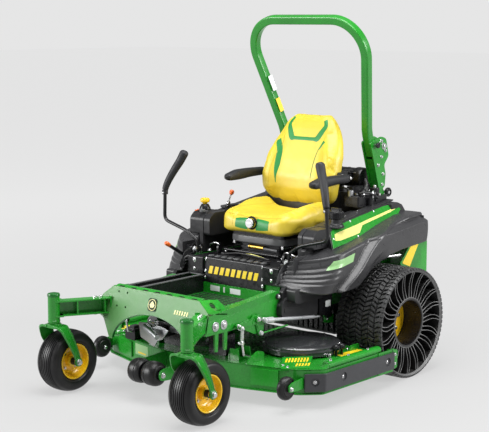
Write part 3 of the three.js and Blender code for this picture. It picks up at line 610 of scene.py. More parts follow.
def drive_tyre():
    """The airless tyre: a treaded band held to the wheel by thin curved spokes."""
    half = (TYRE_OUT - TYRE_IN) / 2
    form = Form()
    band = [(284, -half + 9), (290, -half + 3), (295, -half + 2), (298, -half + 6), (296, -half + 16),
            (291, -half + 24), (291, half - 24), (296, half - 16), (298, half - 6), (295, half - 2),
            (290, half - 3), (284, half - 9), (282, half - 14), (282, -half + 14)]
    form.add(lathe(band, (0, 0, 0), "x", 120))
    rng = random.Random(7)
    rows, around = 7, 36
    pitch = 2 * (half - 8) / rows
    step = TURN / around
    for row in range(rows):
        x = -half + 8 + pitch * (row + 0.5)
        lean = 0.0016 * (1 if row % 2 else -1)
        for k in range(around):
            a = (k + 0.5 * (row % 2)) * step
            gap = 0.12 * step
            middle = a + step * rng.uniform(0.44, 0.56)
            tread_block(form, x - pitch / 2 + 2.6, x + pitch / 2 - 2.6, a + gap * 0.6, middle - gap * 0.5,
                        lean, rng)
            tread_block(form, x - pitch / 2 + 2.6, x + pitch / 2 - 2.6, middle + gap * 0.5,
                        a + step - gap * 0.6, lean, rng)
    for side in (-1, 1):
        for k in range(72):
            a = (k + 0.5) * TURN / 72
            lug = []
            for x, r0, r1 in ((half - 20, 293, 304), (half - 7, 292, 302.5), (half - 1, 289, 298.5)):
                ring = []
                for r, da in ((r0, -0.031), (r1, -0.026), (r1, 0.026), (r0, 0.031)):
                    ring.append((side * x, r * math.cos(a + da), r * math.sin(a + da)))
                lug.append(ring)
            form.add(skinned(lug))
    # The lip and the rim line below take the light grey: painted highlight along those edges.
    lip = [(281.5, half - 13), (284, half - 8.2), (289.5, half - 2.2), (291, half - 1.6), (291, half - 3),
           (283.5, half - 10)]
    form.add(lathe(lip, (0, 0, 0), "x", 120), 1)
    hub = [(127.6, -half + 12), (129.5, -half + 10), (138, -half + 10), (140, -half + 12), (140, half - 30),
           (138, half - 26), (131, half - 25), (127.6, half - 28)]
    form.add(lathe(hub, (0, 0, 0), "x", 96))
    rim_line = [(137.6, half - 26.1), (139.6, half - 26.2), (140.6, half - 29), (139.6, half - 30)]
    form.add(lathe(rim_line, (0, 0, 0), "x", 96), 1)
    spokes = 40
    for k in range(spokes):
        base = TURN * k / spokes
        rings = []
        for i in range(11):
            t = i / 10
            r = 139 + (283.5 - 139) * t
            ang = base + 0.075 * math.sin(math.pi * t) + 0.05 * t * (1 if k % 2 else -1)
            thick = 1.5 + 1.3 * (1 - math.sin(math.pi * t))
            y, z = r * math.cos(ang), r * math.sin(ang)
            ny, nz = -math.sin(ang) * thick, math.cos(ang) * thick
            w = half - 28 + 15 * t
            rings.append([(-w, y - ny, z - nz), (w - 1.2, y - ny, z - nz), (w, y - 0.6 * ny, z - 0.6 * nz),
                          (w, y + 0.6 * ny, z + 0.6 * nz), (w - 1.2, y + ny, z + nz), (-w, y + ny, z + nz)])
        points, faces = skinned(rings, capped=False)
        base_at = len(form.points)
        form.points += points
        # The spokes' outer edge faces take the light grey: painted highlight.
        for n, face in enumerate(faces):
            form.faces.append(tuple(base_at + i for i in face))
            form.paint.append(1 if n % 6 in (1, 2, 3) else 2)
    return form


def drive_rim():
    """The yellow centre disc with its nuts, and the black barrel that it is bolted into."""
    at = (0.5, 0, 0)
    form = Form()
    dish = [(24, -2), (34, -4), (44, -4), (52, 2), (66, 6), (96, 6), (108, 2), (118, 1), (127, 3), (127, -4),
            (116, -8), (96, -4), (60, -6), (24, -12)]
    form.add(lathe(dish, at, "x", 80))
    for k in range(5):
        a = TURN * k / 5 + 0.3
        spot = (at[0] + 5, 62 * math.cos(a), 62 * math.sin(a))
        form.add(bolt(spot, (1, 0, 0), 20, 13, 15), 1)
    form.add(disc(33, -40, 4, at, "x", 36, 3, 0), 2)
    form.add(disc(22, 0, 18, at, "x", 24, 3, 0), 1)
    form.add(lathe([(60, -98), (118, -94), (126.5, -86), (126.5, -8), (122, -6), (116, -12), (114, -80),
                    (60, -90)], at, "x", 80), 2)
    form.add(lathe([(19, -98), (60, -98), (60, -12), (19, -12)], at, "x", 40), 2)
    form.add(lathe([(124.5, 4), (127.3, 4), (127.3, 121), (124.5, 121)], at, "x", 80), 3)
    return form


def shifted(form, x, y, z):
    form.points = [(a + x, b + y, c + z) for a, b, c in form.points]
    return form


def drive_wheels():
    centre = (TYRE_IN + TYRE_OUT) / 2
    for side, k in SIDES:
        body = "drive_wheel_" + side
        tyre = shifted(drive_tyre(), centre, AXLE_Y, AXLE_Z).sided(k)
        piece("airless_tyre_" + side, tyre, body, (RUBBER, PAINTED_HIGHLIGHT_GREY, SPOKE),
              ["rear_tyre_" + side], angle=30)
        rim = shifted(drive_rim(), centre, AXLE_Y, AXLE_Z).sided(k)
        piece("drive_rim_" + side, rim, body, (YELLOW, STEEL, CAST, BLACK),
              ["rear_rim_" + side])


# ---------------------------------------------------------------- casters
def caster_tyre():
    def crown(x):
        return CASTER_R - 8.5 * (abs(x) / 54) ** 2.6

    tread = []
    for groove in (7, 20, 32, 43):
        tread += [(crown(groove), groove - 2.6), (crown(groove) - 4.5, groove - 1.7),
                  (crown(groove) - 4.5, groove + 1.7), (crown(groove), groove + 2.6)]
    half = [(CASTER_RIM + 1, 48), (CASTER_RIM + 1, 56), (97, 61), (103, 64), (106, 69), (109, 68.5),
            (112, 71), (124, 73.4), (136, 73.4), (144, 71.4), (149.5, 67.5), (153, 62.5), (155.6, 57),
            (crown(50), 50)]
    half += reversed(tread)
    outline = half + [(r, -x) for r, x in reversed(half)]
    return lathe(outline, (0, 0, 0), "x", 96)


def caster_rim():
    form = Form()
    half = [(92, 52), (95, 60), (94.5, 63), (92, 64), (88, 62), (84, 52), (80, 40), (74, 26), (62, 19),
            (48, 17), (36, 19), (31, 26), (29, 44)]
    outline = half + [(12, 44), (12, -44)] + [(r, -x) for r, x in reversed(half)]
    form.add(lathe(outline, (0, 0, 0), "x", 72))
    for k in range(4):
        a = TURN * (k + 0.5) / 4
        for s in (1, -1):
            form.add(bolt((s * 17.5, 52 * math.cos(a), 52 * math.sin(a)), (s, 0, 0), 13, 8), 1)
    form.add(disc(20, 43, 66, (0, 0, 0), "x", 28, 3, 10.5), 2)
    form.add(disc(20, -66, -43, (0, 0, 0), "x", 28, 3, 10.5), 2)
    return form


def fork_leg(k):
    """A formed channel from the crown down to the axle, with its edges turned in."""
    line = bent([(20, KINGPIN_Y, 364), (62, KINGPIN_Y + 2, 364), (88, KINGPIN_Y + 10, 338)], 22, 5)
    line += spline([(87, KINGPIN_Y + 26, 306), (87, KINGPIN_Y + 52, 258), (87, KINGPIN_Y + 74, 208),
                    (87, CASTER_Y, 165)], 5)
    line = spline(line[::2] + [line[-1]], 2)
    profile = rounded([(-37, -6), (-37, 7), (-32, 7), (-28, -0.5), (28, -0.5), (32, 7), (37, 7), (37, -6)], 3,
                      2)
    half = sweep(profile, line, (0, 0, 1), lambda t: 1 - 0.22 * smoothstep(0.25, 1, t))
    return [(k * x, y, z) for x, y, z in half[0]], half[1]


def caster_fork():
    form = Form()
    for k in (1, -1):
        form.add(fork_leg(k))
        form.add(disc(24, *sorted((k * 81, k * 93)), (0, CASTER_Y, CASTER_R), "x", 36, 2.5))
        form.add(bolt((k * 93, CASTER_Y, CASTER_R), (k, 0, 0), 24, 12, 17), 1)
        form.add(disc(15, *sorted((k * 67, k * 81)), (0, CASTER_Y, CASTER_R), "x", 24, 1), 1)
    form.add(pad((-44, KINGPIN_Y - 33, 44, KINGPIN_Y + 33), 14, "z", 356, 371.5))
    form.add(disc(38, 371, 376.5, (0, KINGPIN_Y, 0), "z", 40, 2))
    form.add(disc(15.5, 372, 516, (0, KINGPIN_Y, 0), "z", 24, 2), 1)
    form.add(lathe([(0.05, -66), (9.5, -66), (9.5, 66), (0.05, 66)], (0, CASTER_Y, CASTER_R), "x", 20), 1)
    return form


def casters():
    for side, k in SIDES:
        tyre = shifted(Form().add(caster_tyre()), CASTER_X, CASTER_Y, CASTER_R).sided(k)
        piece("front_tyre_" + side, tyre, "caster_wheel_" + side, (SIDEWALL,),
              ["caster_tyre_" + side], angle=42)
        rim = shifted(caster_rim(), CASTER_X, CASTER_Y, CASTER_R).sided(k)
        piece("front_rim_" + side, rim, "caster_wheel_" + side, (YELLOW, STEEL, CAST),
              ["caster_rim_" + side])
        fork = shifted(caster_fork(), CASTER_X, 0, 0).sided(k)
        piece("front_fork_" + side, fork, "caster_swivel_" + side, (GREEN, STEEL),
              ["caster_fork_" + side], bevel=0.8)


# ---------------------------------------------------------------- rollers under the deck's front
def rollers():
    r, half = 64, 97
    barrel = [(r - 22, 7), (r - 9, 9), (r - 3, 18), (r - 0.5, 32), (r - 0.5, 34), (r - 2.5, 36),
              (r - 2.5, 38), (r, 41), (r, 62), (r - 1.5, 74), (r - 6, 86), (r - 14, 94), (r - 22, half),
              (30, half), (28, 92), (18, 90), (18, 8)]
    sleeve = [(9.8, -half), (18, -half), (18, half), (9.8, half)]
    form = Form()
    for s in (1, -1):
        form.add(lathe([(a, s * x) for a, x in barrel], ROLLER_AT, "x", 56))
    form.add(lathe(sleeve, ROLLER_AT, "x", 24), 1)
    piece("front_rollers", form, "centre_roller", (SIDEWALL, CAST), ["centre_roller"],
          angle=30)
    for side, k in SIDES:
        profile = [(9.6, -20.5), (38, -20.5), (41, -17), (46, -17), (49, -20), (57, -15), (60.5, -6),
                   (60.5, 6), (57, 15), (49, 20), (46, 17), (41, 17), (38, 20.5), (9.6, 20.5)]
        form = Form().add(lathe(profile, CORNER_WHEEL_AT, "x", 48)).sided(k)
        piece("scalp_wheel_" + side, form, "corner_wheel_" + side, (SIDEWALL,),
              ["corner_wheel_" + side], angle=30)


# ---------------------------------------------------------------- frame
PLATE_LEAN = 0.228
PLATE_TOP_Y, PLATE_TOP = -622, 562


def leaning(shape):
    """A shape drawn with its front face at y = 0, put on the leaning front plate."""
    points, faces = shape
    return [(x, y + PLATE_TOP_Y + (z - PLATE_TOP) * PLATE_LEAN, z) for x, y, z in points], faces


def arch_line(steps):
    """The (x, z) curve of the arch under the front plate."""
    return [(ARCH_HALF * math.cos(math.pi * i / steps), ARCH_FOOT + ARCH_RISE * math.sin(math.pi * i / steps))
            for i in range(steps + 1)]


def front_plate():
    arch = arch_line(28)
    right = [(284, 292), (345, 384), (RAIL_OUT, 410), (RAIL_OUT, 506), (307, 560)]
    left = [(-x, z) for x, z in reversed(right)]
    whole = [(ARCH_HALF, 292)] + right + left + [(-ARCH_HALF, 292)] + arch[::-1]
    form = Form().add(leaning(prism(whole, "y", -8, 0)))
    holes = [leaning(disc(5.5, -20, 10, (x, 0, z), "y", 20)) for x in (-262, -198) for z in (536, 462)]
    holes.append(leaning(pad((-322, 466, -302, 490), 5, "y", -20, 10)))
    # The front plate is in the paler green: a painted reflection of the front light.
    piece("front_cross_panel", form, "chassis", (SHEEN_PAINTED_GREEN,), ["front_cross_plate"], 1.6,
          cut=holes)


def panel_lip():
    lip = Form()
    lip.add(plate([(-634, 548), (-602, 566), (-586, 566), (-586, 560), (-600, 560), (-630, 543)], 2, "x",
                  -305, 305))
    for x in range(-262, 263, 87):
        slot = rounded(rectangle(x - 21, 7, x + 21, 29), 10)
        rings = [[(a, -634 + 0.871 * b - 0.49 * d, 548 + 0.49 * b + 0.871 * d) for a, b in slot]
                 for d in (-1, 0.7)]
        lip.add(skinned(rings), 1)
    piece("front_panel_lip", lip, "chassis", (GREEN, BLACK), (), 0.5)


def arch_rim():
    arch_edge = Form()
    ring = [(x, PLATE_TOP_Y + (z - PLATE_TOP) * PLATE_LEAN - 2, z) for x, z in arch_line(36)]
    arch_edge.add(sweep(rectangle(-1.8, -7, 1.8, 7), ring, (0, -1, 0)))
    # The arch's rim gets the darkened green: painted shade.
    piece("arch_edge", arch_edge, "chassis", (SHADE_PAINTED_GREEN,), (), 0.8)


def front_badge():
    """A drop in a ring and slanted bars, in place of any name."""
    badge = Form()
    badge.add(leaning(pad((-36, 468, 24, 532), 14, "y", -11, -8, 5)))
    badge.add(leaning(lathe([(26, -11), (29, -11), (29, -12.4), (26, -12.4)], (-6, 0, 500), "y", 48)), 1)
    badge.add(leaning(prism([(-16, 486), (4, 486), (12, 500), (-6, 520), (-24, 500)], "y", -12.2, -10.5)), 1)
    piece("round_badge", badge, "chassis", (BADGE, DECAL_CREAM))
    label = Form()
    for i in range(6):
        x = 150 + 17 * i
        label.add(leaning(prism([(x, 474), (x + 9, 474), (x + 14, 496), (x + 5, 496)], "y", -9.2, -7.5)))
    piece("front_label", label, "chassis", (DECAL_CREAM,))


def gussets():
    gusset = Form()
    for k in (1, -1):
        face = [(307, -560, 556), (307, -628, 562), (380, -640, 508), (380, -500, 486), (350, -492, 520),
                (322, -506, 550)]
        points = [(k * x, y, z) for x, y, z in face] + [(k * x, y, z - 6) for x, y, z in face]
        n = len(face)
        faces = [tuple(range(n)), tuple(range(2 * n - 1, n - 1, -1))] + [
            (i, (i + 1) % n, n + (i + 1) % n, n + i) for i in range(n)]
        gusset.add((points, faces))
    holes = []
    for k in (1, -1):
        tilt = Vector((k * 0.62, 0.0, 0.785))
        points, faces = disc(20, -30, 30, (0, 0, 0), "z", 28)
        oval = [(x * 1.3, y * 0.85, z) for x, y, z in points], faces
        holes.append(turned_to(oval, tilt, (k * 345, -566, 528)))
    piece("plate_gussets", gusset, "chassis", (GREEN,), (), 1.2, cut=holes)


def rails():
    for side, k in SIDES:
        form = Form()
        outline = rounded([(-660, 393), (945, 393), (945, 478), (-85, 478), (-93, 538), (-110, 541),
                           (-640, 491), (-664, 478)], 5, 3)
        form.add(prism(outline, "x", RAIL_IN + 1, RAIL_OUT))
        form.add(prism([(-655, 405), (-120, 405), (-105, 500), (-645, 462)], "x", RAIL_OUT - 1,
                       RAIL_OUT + 1.2))
        for y in (-590, -528):
            form.add(disc(25, -1, 5, (RAIL_OUT, y, 433), "x", 44, 2), 1)
            form.add(bolt((RAIL_OUT + 5, y, 433), (1, 0, 0), 22, 10, 15), 2)
        for y in (-40, 120, 330, 470, 700):
            form.add(bolt((RAIL_OUT, y, 436), (1, 0, 0), 17, 9), 2)
        form = form.sided(k)
        piece("main_rail_" + side, form, "chassis", (GREEN, ALLOY, STEEL),
              ["frame_rail_" + side], 2.4)


def strip_between(a, b, s0, s1, w0, w1):
    """A four-cornered outline beside the line from a to b."""
    long = math.hypot(b[0] - a[0], b[1] - a[1])
    ux, uy = (b[0] - a[0]) / long, (b[1] - a[1]) / long
    return [(a[0] + ux * s - uy * w, a[1] + uy * s + ux * w)
            for s, w in ((s0, w0), (s1, w0), (s1, w1), (s0, w1))]


def caster_arms():
    a, b = (340, -652), (CASTER_X, KINGPIN_Y)
    long = math.hypot(b[0] - a[0], b[1] - a[1])
    for side, k in SIDES:
        form = Form()
        form.add(prism(strip_between(a, b, -16, long - 8, -30, 31), "z", 491, 498))
        form.add(prism(strip_between(a, b, -16, long - 8, -30, 31), "z", 415, 422))
        form.add(prism(strip_between(a, b, -16, long - 8, 22, 29), "z", 420, 493))
        for s in (12, 0.56 * long):
            form.add(prism(strip_between(a, b, s, s + 7, -27, 26), "z", 420, 493))
        form.add(prism(strip_between(a, b, -20, -12, -34, 34), "z", 409, 505))
        for z0, z1 in ((491, 501), (412, 422)):
            form.add(prism(strip_between(a, b, long - 46, long, -32, 33), "z", z0, z1))
        form.add(lathe([(17, 379), (30, 379), (31.5, 382), (31.5, 524), (30, 528), (17, 528)],
                       (b[0], b[1], 0), "z", 56))
        form.add(lathe([(31, 388), (33, 390), (33, 394), (31, 396)], (b[0], b[1], 0), "z", 56))
        # The kingpin cap is in the darkened green: painted shade.
        form.add(lathe([(0.05, 540), (20, 539.5), (30, 537), (33.5, 532), (33.5, 522), (31, 521),
                        (0.05, 521)], (b[0], b[1], 0), "z", 56), 1)
        for s in (30, 62):
            x, y = strip_between(a, b, s, s, 8, 8)[0]
            form.add(bolt((x, y, 498), (0, 0, 1), 17, 9), 2)
            form.add(bolt((x, y, 415), (0, 0, -1), 17, 9), 2)
        form = form.sided(k)
        piece("front_arm_" + side, form, "chassis", (GREEN, SHADE_PAINTED_GREEN, STEEL),
              ["caster_arm_" + side], 1.4)


def foot_tray():
    form = Form()
    form.add(plate([(-614, 438), (-8, 438), (-4, 634), (622, 634), (622, 640.5), (-12, 640.5), (-16, 446.5),
                    (-606, 446.5), (-604, 541), (-614, 545)], 3, "x", -321, 321, 3), 3)
    form.add(plate([(-613, 438), (-20, 438), (-20, 478), (-600, 478)], 6, "x", 314, 321), 3)
    form.add(prism(rectangle(-13, 640, 622, 641.5), "x", -312, 312))
    for x in (-321, -226):
        form.add(plate([(-613, 438), (-20, 438), (-20, 546), (-600, 546)], 6, "x", x, x + 7))
        form.add(pad((-612, 542, -24, 547.5), 2, "x", x - 4, x + 11), 1)
    for y in (-610, -36):
        form.add(pad((y - 6, 542, y + 10, 547.5), 2, "x", -321, -216), 1)
    for i in range(17):
        y = -570 + 32 * i
        form.add(pad((-200, y, 120, y + 12), 4, "z", 446, 450), 2)
    piece("foot_tray", form, "chassis", (BLACK, GREY, SOFT_BLACK, GREEN), ["floor_pan"], 1.2)


def kick_plate():
    kick = Form()
    kick.add(plate([(-20, 506), (-28, 506), (-19, 642), (-12, 650), (30, 650), (30, 642), (-8, 642)], 3, "x",
                   -218, 218, 3))
    kick.add(pad((-28, 447, -22, 504), 1, "x", -219, 300), 1)
    for k in (1, -1):
        for x, z in ((206, 632), (208, 566), (209, 530)):
            kick.add(dome_bolt((k * x, -26 + (z - 516) * 0.07, z), (0, -1, 0), 8), 2)
    for x0, x1, paint in ((-166, -96, 3), (-70, 56, 3), (-58, -20, 1)):
        kick.add(pad((x0, 462, x1, 492), 4, "y", -29.4 + 0.4 * (paint == 3), -27.6), paint)
    for i in range(9):
        x0 = -184 + i * 41
        mark = [(x0, 556), (x0 + 27, 556), (x0 + 37, 598), (x0 + 10, 598)]
        kick.add(skinned([[(x, -27.4 + (z - 506) * 0.0662 - d, z) for x, z in mark] for d in (0, 2)]), 5)
    for i in range(9):
        x = -190 + i * 47.5
        kick.add(pad((x - 15, -6, x + 15, 22), 6, "z", 649, 653), 4)
    piece("kick_plate", kick, "chassis", (BLACK, GREEN, STEEL, DECAL_WHITE, GREY,
                                                         DECAL_YELLOW), (), 0.6)


def tray_brackets():
    bracket = Form()
    for k in (1, -1):
        side = Form()
        side.add(plate([(-28, 560), (90, 555), (104, 640), (60, 668), (-20, 652)], 12, "x", 322, 330))
        side.add(plate([(-36, 545), (-22, 545), (-22, 650), (-36, 642)], 5, "x", 218, 330))
        side.add(dome_bolt((280, -36, 622), (0, -1, 0), 10), 1)
        side.add(dome_bolt((280, -36, 572), (0, -1, 0), 8), 1)
        side.add(bolt((330, 20, 600), (1, 0, 0), 15, 8), 1)
        side.add(bolt((330, 70, 640), (1, 0, 0), 15, 8), 1)
        bracket.merge(side.sided(k))
    piece("tray_brackets", bracket, "chassis", (BLACK, STEEL), (), 1.0)


def engine_plate():
    form = Form()
    form.add(block((-331, 880, 393), (331, 940, 470)))
    form.add(block((-331, 640, 393), (331, 680, 470)))
    form.add(block((-331, 640, 470), (331, 940, 479)))
    for k in (1, -1):
        for y in (660, 910):
            form.add(bolt((k * 300, y, 479), (0, 0, 1), 17, 9), 1)
    # The cross member under the seat gets the darkened green: painted shade.
    piece("engine_plate", form, "chassis", (SHADE_PAINTED_GREEN, STEEL), ["rear_crossmember"], 1.5,
          cut=[disc(60, 380, 500, (0, ENGINE_Y, 0), "z", 40)])


def rear_guard():
    form = Form()
    form.add(pad((-600, 470, 600, 700), 20, "y", 953, 960))
    form.add(pad((-419, 521, 419, 579), 8, "y", 959, 977.5))
    for k in (1, -1):
        wing = plate([(960, 470), (960, 704), (900, 704), (800, 712), (694, 602), (780, 556), (866, 498),
                      (920, 470)], 8, "x", 600, 607, 3)
        form.add(wing if k > 0 else mirrored_shape(wing))
        label = plate([(714, 604), (802, 698), (870, 694), (788, 576)], 5, "x", 606.8, 608.4)
        form.add(label if k > 0 else mirrored_shape(label), 1)
        rod = tube([(k * 560, 595, 649), (k * 585, 721, 649)], 9, 16)
        form.add([rod, tube([(k * 555, 581, 647), (k * 562, 609, 651)], 17, 20)], 2)
        for x in (360, 500):
            form.add(bolt((k * x, 960, 640), (0, 1, 0), 17, 9), 2)
    holes = [pad((x - 60, 600, x + 60, 672), 18, "y", 940, 980) for x in (-250, -90, 90, 250)]
    piece("rear_guard", form, "chassis", (GREEN, DECAL_YELLOW, STEEL), ["rear_bumper"], 1.6,
          cut=holes)


# ---------------------------------------------------------------- roll bar
def leaning_point(x, up, back=0):
    """A point on the leaning roll bar: up along it from z = 1300, and back from its middle plane."""
    return (x, ROPS_Y - ROPS_LEAN * up / TILT + back / TILT, ROPS_Z + up / TILT + back * ROPS_LEAN / TILT)


def on_post(z, back):
    y = ROPS_Y - ROPS_LEAN * (z - ROPS_Z)
    return (y + back / TILT, z + back * ROPS_LEAN / TILT)


PIVOT = on_post(1205, 85)


def roll_bar():
    half = ROPS_HALF
    square = rounded(rectangle(-half, -half, half, half), 8, 3)
    for side, k in SIDES:
        knee_z = ROPS_Z - (925 - ROPS_Y) / ROPS_LEAN
        line = bent([(ROPS_X, 925, 489), (ROPS_X, 925, knee_z), (ROPS_X,) + on_post(1165, 0)], 70, 6)
        form = Form().add(sweep(square, line, (1, 0, 0)))
        outline = rounded([on_post(985, -29), on_post(985, 27), on_post(1050, 58), on_post(1105, 60),
                           on_post(1135, 116), on_post(1235, 122), on_post(1262, 84), on_post(1270, -29)], 16,
                          4)
        for x0, x1 in ((half - 0.5, half + 8.5), (-half - 8.5, -half + 0.5)):
            form.add(prism(outline, "x", ROPS_X + x0, ROPS_X + x1))
        form.add(lathe([(0.05, -44), (9, -44), (9, 44), (0.05, 44)], (ROPS_X,) + PIVOT, "x", 20), 1)
        for s in (1, -1):
            form.add(bolt((ROPS_X + s * 34,) + PIVOT, (s, 0, 0), 24, 14, 20), 1)
            for z, back in ((1125, 0), (1242, 70), (1158, 44), (1176, 92), (1062, 30), (1010, 4)):
                form.add(bolt((ROPS_X + s * 34,) + on_post(z, back), (s, 0, 0), 15, 9), 1)
        pin = on_post(1238, 12)
        form.add(tube([(ROPS_X - 50,) + pin, (ROPS_X + 52,) + pin], 8, 14), 1)
        form.add(disc(17, 0, 12, (ROPS_X + 46,) + pin, "x", 24, 3), 2)
        form.add(tube(bent([(ROPS_X + 52, pin[0], pin[1] + 8), (ROPS_X + 60, pin[0] + 20, pin[1] + 30),
                            (ROPS_X + 56, pin[0] + 40, pin[1] + 6)], 12), 2.2, 8), 1)
        form.add(tube([(ROPS_X - 20, 953, 959), (ROPS_X + 40, 953, 959)], 9, 16), 1)
        form.add(lathe([(10, 22), (24, 22), (27, 27), (27, 36), (23, 41), (15, 41), (15, 34), (10, 34)],
                       (ROPS_X, 953, 959), "x", 36), 2)
        form = form.sided(k)
        piece("roll_post_" + side, form, "chassis", (GREEN, STEEL, BLACK),
              ["rops_post_" + side], 1.2)

    bend, rise, top_half, taper_foot = 192, 685, 206, 37
    taper = math.atan(0.2127)
    right = [(ROPS_X, (1182 - ROPS_Z) * TILT), (ROPS_X, 0), (ROPS_X + 3, taper_foot)]
    for i in range(19):
        a = -taper + (math.pi / 2 + taper) * i / 18
        right.append((top_half + bend * math.cos(a), rise - bend + bend * math.sin(a)))
    right.insert(3, tuple(0.5 * (a + b) for a, b in zip(right[2], right[3])))
    line = right + [(-x, u) for x, u in reversed(right)]
    path = [leaning_point(x, u) for x, u in line]
    normal = (0, 1 / TILT, ROPS_LEAN / TILT)
    half = ROPS_HALF - 0.8
    form = Form().add(sweep(rounded(rectangle(-half, -half, half, half), 9, 3), path, normal))
    for k in (1, -1):
        lug = plate([on_post(1184, 22), on_post(1184, 78), on_post(1200, 106), on_post(1228, 106),
                     on_post(1275, 22)], 10, "x", ROPS_X - 16, ROPS_X + 16)
        form.add(lug if k > 0 else mirrored_shape(lug))
    bores = [lathe([(0.05, -60), (10, -60), (10, 60), (0.05, 60)], (k * ROPS_X,) + PIVOT, "x", 20)
             for k in (1, -1)]
    piece("roll_hoop", form, "roll_bar", (GREEN,), ["rops_hoop"], cut=bores)

    labels = Form()
    for x0, up0, x1, up1, paint in ((-338, 250, -357, 340, 0), (-318, 118, -334, 200, 1),
                                    (322, 110, 330, 190, 1)):
        quad = [leaning_point(x + half + 0.5, up, w) for x, up in ((x0, up0), (x1, up1)) for w in (-17, 17)]
        top = [tuple(Vector(p) + Vector((0.9, 0, 0))) for p in quad]
        labels.add((quad + top, [(0, 1, 3, 2), (4, 6, 7, 5), (0, 4, 5, 1), (2, 3, 7, 6), (0, 2, 6, 4),
                                 (1, 5, 7, 3)]), paint)
    piece("roll_bar_labels", labels, "roll_bar", (DECAL_WHITE, DECAL_YELLOW))


# ---------------------------------------------------------------- fenders
FLARE = ((168, 537), (235, 588), (309, 646), (385, 720), (448, 766), (513, 797), (700, 814), (938, 838))
SKIRT_TOP = ((-78, 596), (-62, 628), (-36, 660), (0, 674), (60, 692), (110, 707), (160, 722), (307, 752),
             (448, 778), (620, 822), (800, 860), (938, 868))
SKIRT_LOW = ((-78, 568), (-50, 548), (0, 532), (60, 524), (174, 526), (260, 534), (337, 552), (388, 582),
             (439, 622), (503, 650), (596, 676), (704, 692), (938, 708))


def behind_flare(y, z):
    """How far a point on the fender's side is behind and below the line where the flare starts."""
    best = 1e9
    sign = 1
    for (y0, z0), (y1, z1) in zip(FLARE, FLARE[1:]):
        dy, dz = y1 - y0, z1 - z0
        long = math.hypot(dy, dz)
        t = min(1, max(0, ((y - y0) * dy + (z - z0) * dz) / long ** 2))
        d = math.hypot(y - y0 - dy * t, z - z0 - dz * t)
        if d < best:
            best = d
            sign = 1 if (y - y0) * dz - (z - z0) * dy > 0 else -1
    return best * sign


def fender_side(y, s):
    """The outer wall at station y, from its top (s = 0) to its lower lip (s = 1)."""
    top, low = along(SKIRT_TOP, y) - 16, along(SKIRT_LOW, y)
    z = top + (low - top) * s
    bow = min(1, max(0, (y + 78 - 100 * (1 - s)) / 190))
    x = 356 + 234 * (1 - (1 - bow) ** 2) ** 0.75 + 7 * math.sin(math.pi * s) * bow
    x -= 10 * smoothstep(0.6, 1, s) * (1 - smoothstep(200, 330, y))
    fade = smoothstep(-60, -10, y) * (1 - smoothstep(60, 260, y + 120 * s))
    for groove in (0.2, 0.36, 0.52, 0.68):
        x -= 9 * math.exp(-(((s - groove) / 0.042) ** 2)) * fade
    d = behind_flare(y, z)
    x += 30 * smoothstep(-4, 16, d) - 9 * math.exp(-(((d + 9) / 7) ** 2))
    x -= 16 * smoothstep(70, 96, d) * (1 - smoothstep(400, 560, y))
    return (x, y, z)


def grid(rows):
    """The points and faces of an open sheet given as rows of points."""
    n = len(rows[0])
    faces = [(a * n + b, a * n + b + 1, (a + 1) * n + b + 1, (a + 1) * n + b) for a in range(len(rows) - 1)
             for b in range(n - 1)]
    return [p for row in rows for p in row], faces


def fender_skin():
    rows = []
    for i in range(101):
        y = min(938, -78 + 1016 * (i / 100) ** 1.25)
        top = along(SKIRT_TOP, y)
        side = [fender_side(y, i / 52) for i in range(53)]
        edge = side[0][0]
        inner = min(edge - 3, 355 + 48 * smoothstep(-10, 60, y))
        turn = min(16, 0.4 * (edge - inner))
        row = [(inner + (edge - turn - inner) * f, y, top - 4 + 3 * min(1, 2 * f))
               for f in (0, 0.3, 0.6, 0.85, 1)]
        row += [(edge - turn + turn * math.sin(a), y, top - 16 + 15 * math.cos(a))
                for a in (0.2, 0.55, 0.9, 1.25)]
        row += side
        x, _, z = side[-1]
        row += [(x - 3, y, z - 5), (x - 10, y, z - 7), (x - 18, y, z - 5)]
        rows.append(row)
    return grid(rows)


def fender_piece(side, k):
    skin = Form().add(fender_skin())
    obj = bpy.data.objects.new("fender_shell_" + side, mesh_of("fender_shell_" + side, skin.sided(k)))
    obj.data.materials.append(FENDER_GREY)
    bpy.context.collection.objects.link(obj)
    mod = obj.modifiers.new("wall", "SOLIDIFY")
    mod.thickness = 4 * MM
    mod.offset = -1
    applied(obj)
    dressed(obj, "chassis", ["fender_" + side], angle=50)

    form = Form()
    form.add(block((403, 0, 545), (409, 300, 706)))
    form.add(prism([(930, 708), (936, 708), (936, 850), (930, 850)], "x", 404, 600))
    piece("fender_inner_" + side, form.sided(k), "chassis", (CHARCOAL,), (), 2)


def side_tank(side, k):
    """The black boxes that fill the space between frame and fender; the inner panel also closes the
    see-through gap under the fender, a dark sheet as painted shade.
    """
    form = Form()
    # Inner panel: partly a box, partly painted shade, a dark sheet that blocks the view through the gap under
    # the fender so that it reads dark.
    form.add(plate([(-88, 394), (-72, 380), (300, 380), (300, 560), (-62, 560), (-88, 536)], 10, "x", 381,
                   403))
    form.add(plate([(-66, 482), (-40, 474), (168, 474), (168, 552), (-66, 552)], 16, "x", 403, 470))
    form.add(disc(16, 380, 392, (0, -104, 512), "x", 28, 3))
    form.add(bolt((392, -104, 512), (1, 0, 0), 15, 7), 1)
    piece("side_tank_" + side, form.sided(k), "chassis", (CHARCOAL, STEEL), (), 3, 3)


PANEL_FOOT = ((198, 722), (443, 750), (886, 834), (915, 842))
PANEL_TOP = ((262, 820), (300, 838), (560, 876), (800, 910), (862, 912))


def panel_frame(t):
    """Foot and head points of the raised side block at a fraction along it."""
    y0, y1 = 198 + (915 - 198) * t, 262 + (862 - 262) * t
    return Vector((503, y0, along(PANEL_FOOT, y0))), Vector((431, y1, along(PANEL_TOP, y1)))


